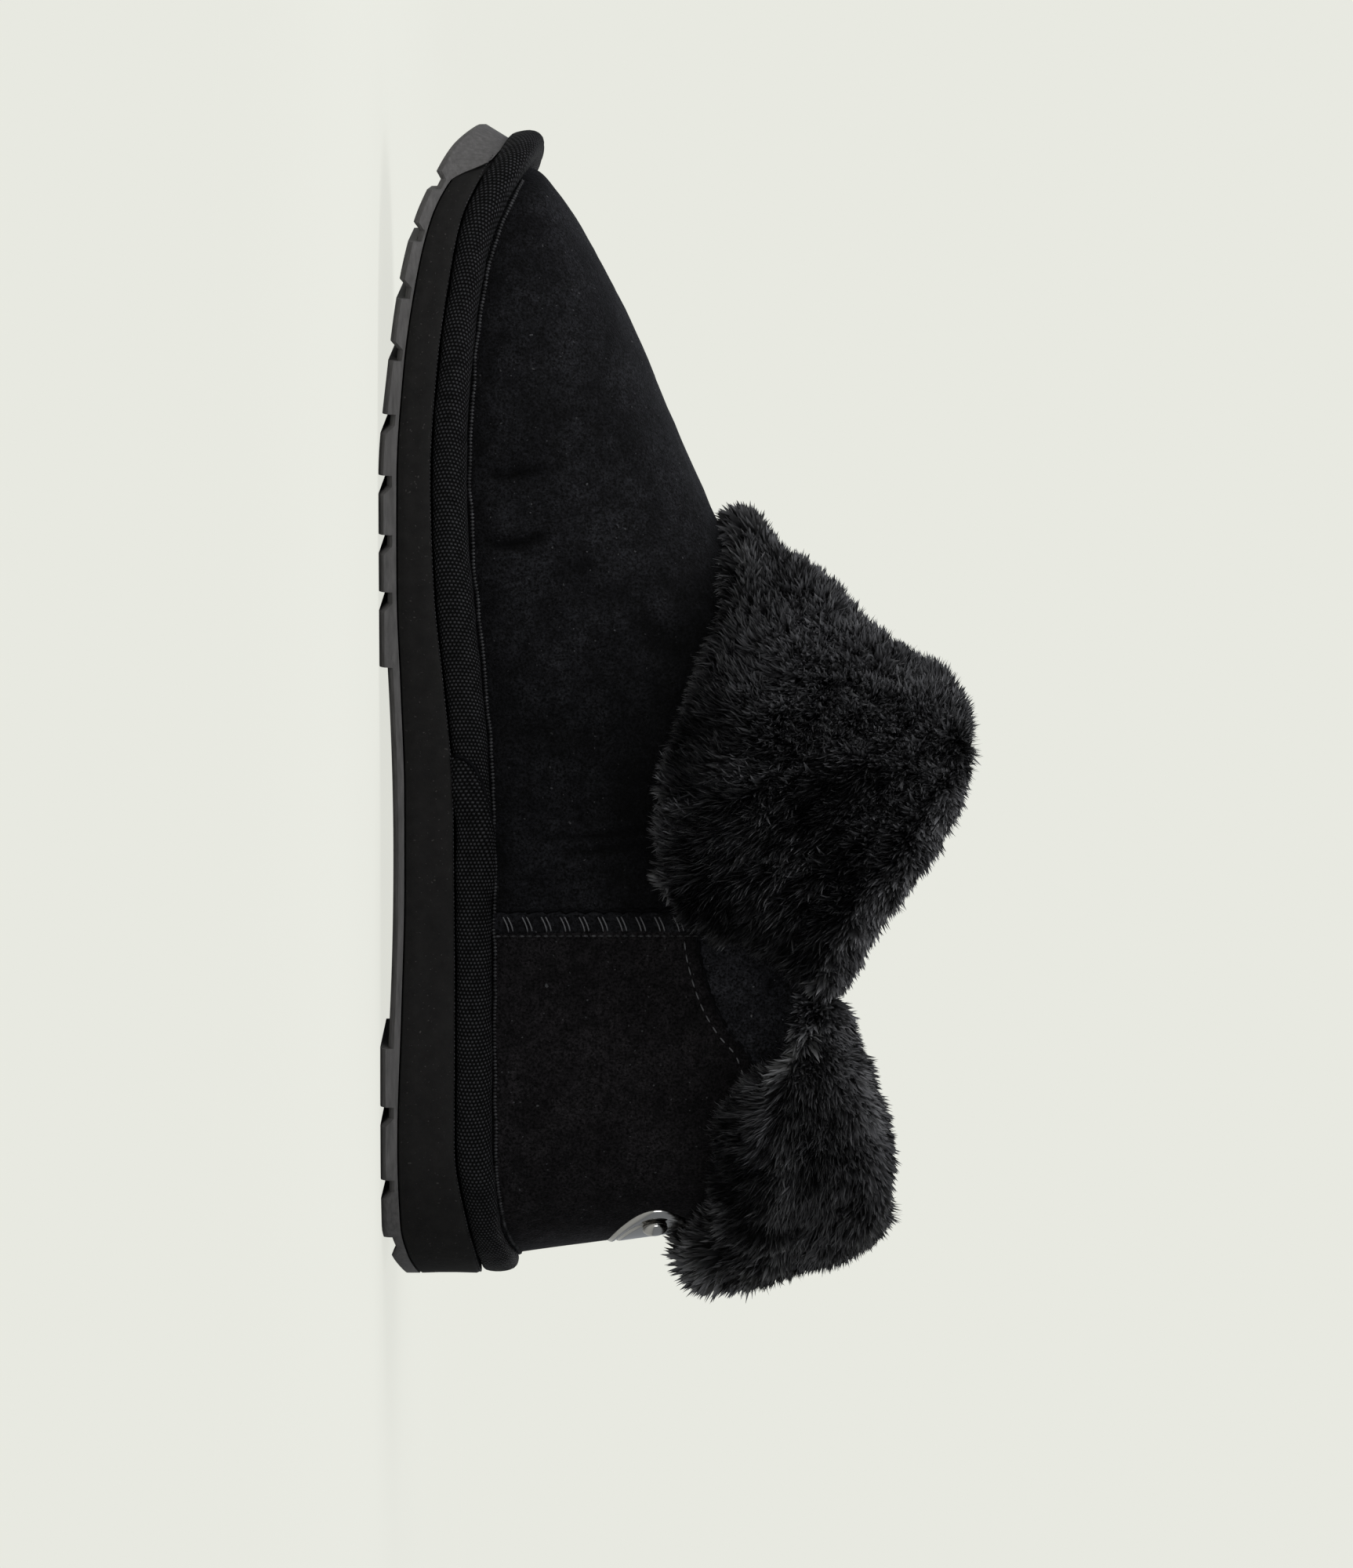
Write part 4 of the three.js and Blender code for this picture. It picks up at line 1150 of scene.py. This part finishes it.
def cuff(name, sizes, wraps, columns, strands, seed):
    """The dark body of a cuff, and its fur in a mesh on either side of the boot's middle."""
    rows, furred = cuff_body(sizes, wraps, columns)
    count = len(rows)
    lumps = 0.8 * waves(rows, 34, seed + 2) + 0.6 * waves(rows, 15, seed)
    lumps = lumps + 0.35 * waves(rows, 7, seed + 1) - 0.8
    rows = rows + grid_normals(rows) * (lumps * furred[:, None])[..., None]
    points = rows.reshape(-1, 3)
    first = np.arange(count) * columns
    ends = []
    for ring, way in ((first, 1), (first + columns - 1, -1)):
        pairs = range(count // 2 - 1)
        fan = [[ring[i], ring[i + 1], ring[count - 2 - i], ring[count - 1 - i]] for i in pairs]
        ends.append(np.array(fan)[:, ::way])
    faces = quads(count, columns, closed_rows=True)
    piece = mesh_object(f"{name}_skin", points, [faces, *ends], FUR_BASE_AND_SHADOW)
    wear(piece, "cuff_fur", name)
    flow = cuff_flow(rows, furred, wraps).reshape(-1, 3)
    row = np.repeat(np.arange(count), columns - 1)
    sources = np.concatenate([faces[furred[row] & furred[(row + 1) % count]], *ends])
    medial = points[sources].mean(axis=1)[:, 0] >= AXIS_X
    for part, chosen in enumerate((medial, ~medial)):
        patch = sources[chosen]
        strand_mesh(f"{name}_fur_{part + 1}", points, patch, flow, strands, seed + 10 * part, FUR, name)


def cuff_flow(rows, furred, wraps):
    """The way the wool lies at each point: down and to the heel, and straight down where it hangs."""
    down = unit(np.roll(rows, 1, axis=0) - np.roll(rows, -1, axis=0))
    beside = np.clip(np.linspace(-2.4, 2.4, rows.shape[1]), -1, 1) * (1 if wraps else -1)
    to_heel = unit(np.gradient(rows, axis=1)) * beside[None, :, None]
    since_hem = np.arange(len(rows)) - np.argmax(furred) - HEM_ROWS
    hangs = (1 - ramp(since_hem, 0, 9))[:, None, None]
    return mix(FLOW["down"] * down + FLOW["heel"] * to_heel, down + 0.35 * to_heel, hangs)


def grid_normals(rows):
    """Outward normals of a section grid, closed along its rows."""
    up = np.roll(rows, -1, axis=0) - np.roll(rows, 1, axis=0)
    across = np.gradient(rows, axis=1)
    return unit(np.cross(up, across))


def scaled_near(values, points, spots):
    """Values raised round each of a table's spots, where the wool is longer, or paler with painted light."""
    for near in spots:
        away = np.hypot(along_of(points) - near["along"], points[:, 2] - near["up"])
        values = values * (1 + near["extra"] * np.exp(-((away / near["reach"]) ** 2)))
    return values


def strand_mesh(name, points, faces, flow, count, seed, kind, node):
    """Strands scattered over quads by area and lying along the flow, each a bent blade of two triangles."""
    rng = np.random.default_rng(seed)
    a, b, c, d = (points[faces[:, k]] for k in range(4))
    area_one = np.linalg.norm(np.cross(b - a, c - a), axis=1)
    area = area_one + np.linalg.norm(np.cross(c - a, d - a), axis=1)
    pick = rng.choice(len(faces), size=count, p=area / area.sum())
    second = (rng.random(count) * area[pick] > area_one[pick])[:, None]
    u, v = rng.random((2, count))
    flip = u + v > 1
    u, v = np.where(flip, 1 - u, u)[:, None], np.where(flip, 1 - v, v)[:, None]
    near, far = np.where(second, c[pick], b[pick]), np.where(second, d[pick], c[pick])
    root = a[pick] + u * (near - a[pick]) + v * (far - a[pick])
    normal = unit(np.cross(c[pick] - a[pick], d[pick] - b[pick]))
    lock = np.stack([waves(root, 12, seed + k) for k in range(3)], axis=1)
    curl = np.stack([waves(root, 4.2, seed + 5 + k) for k in range(3)], axis=1)
    stray = rng.normal(size=(count, 3))
    comb = flow[faces[pick, 0]]
    comb = comb - normal * (normal * comb).sum(axis=1, keepdims=True)
    lean, lie = kind["lean"]
    first = unit(normal + lean * comb + 0.2 * lock + 0.16 * curl + 0.2 * stray)
    then = unit(0.5 * normal + lie * comb + 0.26 * lock + 0.32 * curl + 0.26 * stray + [0, 0, -0.1])
    length = kind["length"] * rng.uniform(0.62, 1.06, count) * (1 + 0.16 * waves(root, 9, seed + 9))
    length = scaled_near(length, root, kind["tufts"])[:, None]
    wide = unit(np.cross(first, rng.normal(size=(count, 3)))) * kind["width"]
    bend = root + first * length * 0.5
    tip = bend + then * length * 0.5
    blade = np.stack([root, root + wide, tip, bend - 0.25 * wide], axis=1)
    corners = np.array([[0, 1, 3], [1, 2, 3]])
    tris = (corners[None] + 4 * np.arange(count)[:, None, None]).reshape(-1, 3)
    patch = 1 + 0.4 * waves(root, 28, seed + 12) + 0.22 * waves(root, 8, seed + 13)
    # painted light: the wool is made paler round its listed spots
    patch = scaled_near(patch, root, kind["painted_light"])
    own = rng.beta(1.0, 3.0, count) * np.clip(patch, 0.25, None)
    # painted shade: each strand's colour is darkest at its root and lightest at its tip
    tone = np.clip(np.stack([0.03 * own, 0.03 * own, 1.6 * own, 0.6 * own], axis=1), 0, 1).ravel()
    piece = mesh_object(name, blade.reshape(-1, 3), tris, FUR_FINISH, tone=tone, smooth=False)
    return wear(piece, kind["slot"], node)


def lining_pile():
    """Wool standing inside the collar."""
    levels = np.linspace(0.55, 0.98, LINING["rows"])
    turns = np.linspace(0, 2 * PI, LINING["columns"], endpoint=False)
    turn, level = np.meshgrid(turns, levels)
    face = off_skin(turn, level, -wall_at(level))
    faces = quads(len(levels), len(turns), closed_columns=True)[:, ::-1]
    flow = np.broadcast_to(PILE_FLOW, (face.size // 3, 3))
    count, seed = LINING["strands"], LINING["seed"]
    strand_mesh("lining_pile", face.reshape(-1, 3), faces, flow, count, seed, PILE, "upper")


# ---- Metal ----


def heel_spot(across, up):
    """The turn and level that lie at a distance across the heel's back and at a height."""
    start = np.zeros(np.shape(across))
    turn = start
    for _ in range(4):
        low, high = halved(start, start + 1, 30, lambda level: skin(turn, level)[..., 2] < up)
        level = (low + high) / 2
        short = lambda turn: np.abs(skin(turn, level)[..., 0] - AXIS_X) < np.abs(across)
        low, high = halved(start, start + PI / 3, 30, short)
        turn = np.sign(across) * (low + high) / 2
    return turn, level


def heel_plate():
    """A curved oval plate with a rounded edge and a groove that follows it."""
    reach = np.linspace(-1, 1, PLATE_GRID)
    a, b = np.meshgrid(reach, reach)
    across = PLATE["width"] / 2 * a * np.sqrt(1 - b * b / 2)
    up = PLATE["centre"] + PLATE["height"] / 2 * b * np.sqrt(1 - a * a / 2)
    turn, level = heel_spot(across, up)
    outward = np.hypot(a * np.sqrt(1 - b * b / 2), b * np.sqrt(1 - a * a / 2))
    rounded = PLATE["rounding"] * (1 - np.clip((1 - outward) / 0.1, 0, 1)) ** 2
    groove = PLATE["groove"] * np.exp(-(((outward - 0.82) / 0.03) ** 2))
    outer = off_skin(turn, level, GAP + PLATE["thickness"] - rounded - groove)
    points, faces = shell(outer, off_skin(turn, level, GAP))
    metal = polished_metal()
    wear(mesh_object("plate", points, faces, metal), "plate_metal", "heel_plate")
    for side, name in ((MEDIAL, "rivet_medial"), (LATERAL, "rivet_lateral")):
        rivet(side, name, metal)


def rivet(side, name, metal):
    turn, level = heel_spot(np.array([side * RIVET["off_centre"]]), np.array([PLATE["centre"]]))
    out, up = (v[0] for v in axes_of(turn, level))
    across = np.cross(up, out)
    seat = skin(turn, level)[0] + out * (PLATE["thickness"] + 2 * GAP + 0.15)
    swing = np.linspace(0, PI / 2, 10)
    radius = np.r_[0.02, RIVET["radius"] * 0.97, RIVET["radius"] * np.cos(swing)]
    height = np.r_[-0.25, -0.25, RIVET["height"] * np.sin(swing)]
    radius[-1] = 0.02
    angle = np.linspace(0, 2 * PI, RIVET["columns"], endpoint=False)
    ring = np.cos(angle)[:, None] * across + np.sin(angle)[:, None] * up
    points = seat + radius[:, None, None] * ring[None] + height[:, None, None] * out
    faces = quads(len(radius), RIVET["columns"], closed_columns=True)[:, ::-1]
    wear(mesh_object(f"{name}_head", points.reshape(-1, 3), faces, metal), "plate_metal", name)


# ---- Studio ----


def seen_by_camera(tree, seen, otherwise, output):
    """One shader for what the camera sees directly, and another for what lights the boot."""
    ray = add_node(tree, "ShaderNodeLightPath").outputs["Is Camera Ray"]
    choice = add_node(tree, "ShaderNodeMixShader", i0=ray, i1=otherwise.outputs[0], i2=seen.outputs[0])
    tree.links.new(choice.outputs[0], tree.nodes[output].inputs["Surface"])


def surroundings(scene):
    world = bpy.data.worlds.new("studio")
    scene.world = world
    world.use_nodes = True
    tree = world.node_tree
    ambient = tree.nodes["Background"]
    ambient.inputs["Color"].default_value = AMBIENT["color"]
    ambient.inputs["Strength"].default_value = AMBIENT["strength"]
    backdrop = add_node(tree, "ShaderNodeBackground", Color=(*PALE, 1))
    seen_by_camera(tree, backdrop, ambient, "World Output")


def floor_paint():
    """A pale glow that takes a faint shadow near the boot."""
    paint = bpy.data.materials.new("floor")
    paint.use_nodes = True
    tree = paint.node_tree
    glow = add_node(tree, "ShaderNodeEmission", Color=(*PALE, 1))
    matt = add_node(tree, "ShaderNodeBsdfDiffuse", Color=(*PALE, 1))
    where = add_node(tree, "ShaderNodeTexCoord").outputs["Object"]
    spread = add_node(tree, "ShaderNodeVectorMath", {"operation": "LENGTH"}, i0=where).outputs["Value"]
    smooth = {"interpolation_type": "SMOOTHSTEP"}
    fade = add_node(tree, "ShaderNodeMapRange", smooth, Value=spread, **SHADE_ON_FLOOR).outputs["Result"]
    blend = add_node(tree, "ShaderNodeMixShader", i0=fade, i1=glow.outputs[0], i2=matt.outputs[0])
    unseen = add_node(tree, "ShaderNodeBsdfDiffuse", Color=(0.5, 0.5, 0.47, 1))
    seen_by_camera(tree, blend, unseen, "Material Output")
    return paint


def studio():
    scene = bpy.context.scene
    scene.view_settings.view_transform = "Standard"
    scene.view_settings.look = "None"
    surroundings(scene)
    mesh = bpy.data.meshes.new("floor")
    signs = ((-1, -1), (1, -1), (1, 1), (-1, 1))
    corners = [(FLOOR_REACH * x, FLOOR_REACH * y, 0) for x, y in signs]
    mesh.from_pydata(corners, [], [(0, 1, 2, 3)])
    mesh.materials.append(floor_paint())
    floor = bpy.data.objects.new("floor", mesh)
    scene.collection.objects.link(floor)
    for row in LIGHTS:
        light = bpy.data.objects.new(row["name"], bpy.data.lights.new(row["name"], "AREA"))
        light.data.size = row["size"]
        light.data.energy = row["power"]
        scene.collection.objects.link(light)
        light.location = row["place"]
        light.rotation_euler = light.location.to_track_quat("Z", "Y").to_euler()


def camera():
    """Level with the boot on its medial side, rolled so that the toe points up with the sole on the left."""
    data = bpy.data.cameras.new("camera")
    data.sensor_width = 36
    data.lens = data.sensor_width * VIEW_DISTANCE / VIEW_HEIGHT
    data.clip_end = 20
    eye = bpy.data.objects.new("camera", data)
    right, up, back = (0, 0, 1), (0, -1, 0), (1, 0, 0)
    turn = Matrix((right, up, back)).transposed().to_4x4()
    target = (VIEW_DISTANCE * MM, (HEEL_Y - AIM["along"]) * MM, AIM["up"] * MM)
    eye.matrix_world = Matrix.Translation(target) @ turn
    bpy.context.scene.collection.objects.link(eye)
    bpy.context.scene.camera = eye


# ---- Build ----

# the dark base under the fur, also used for the painted shadow lines in gaps
FUR_BASE_AND_SHADOW = skin_under_fur()
FUR_FINISH = wool()
PILE_BASE = skin_under_fur()
THREAD_FINISH = thread()
SELVAGE_FINISH = selvage()

upper()
lining()
insole()
midsole()
outsole()
welt()
tape_edges()
tape_end_shadow()
counter()
counter_edge()
for side, name in ((MEDIAL, "medial"), (LATERAL, "lateral")):
    seam_band(side, name)
    seam_threads(side, name)
for row in CUFFS:
    cuff(**row)
lining_pile()
heel_plate()
studio()
camera()
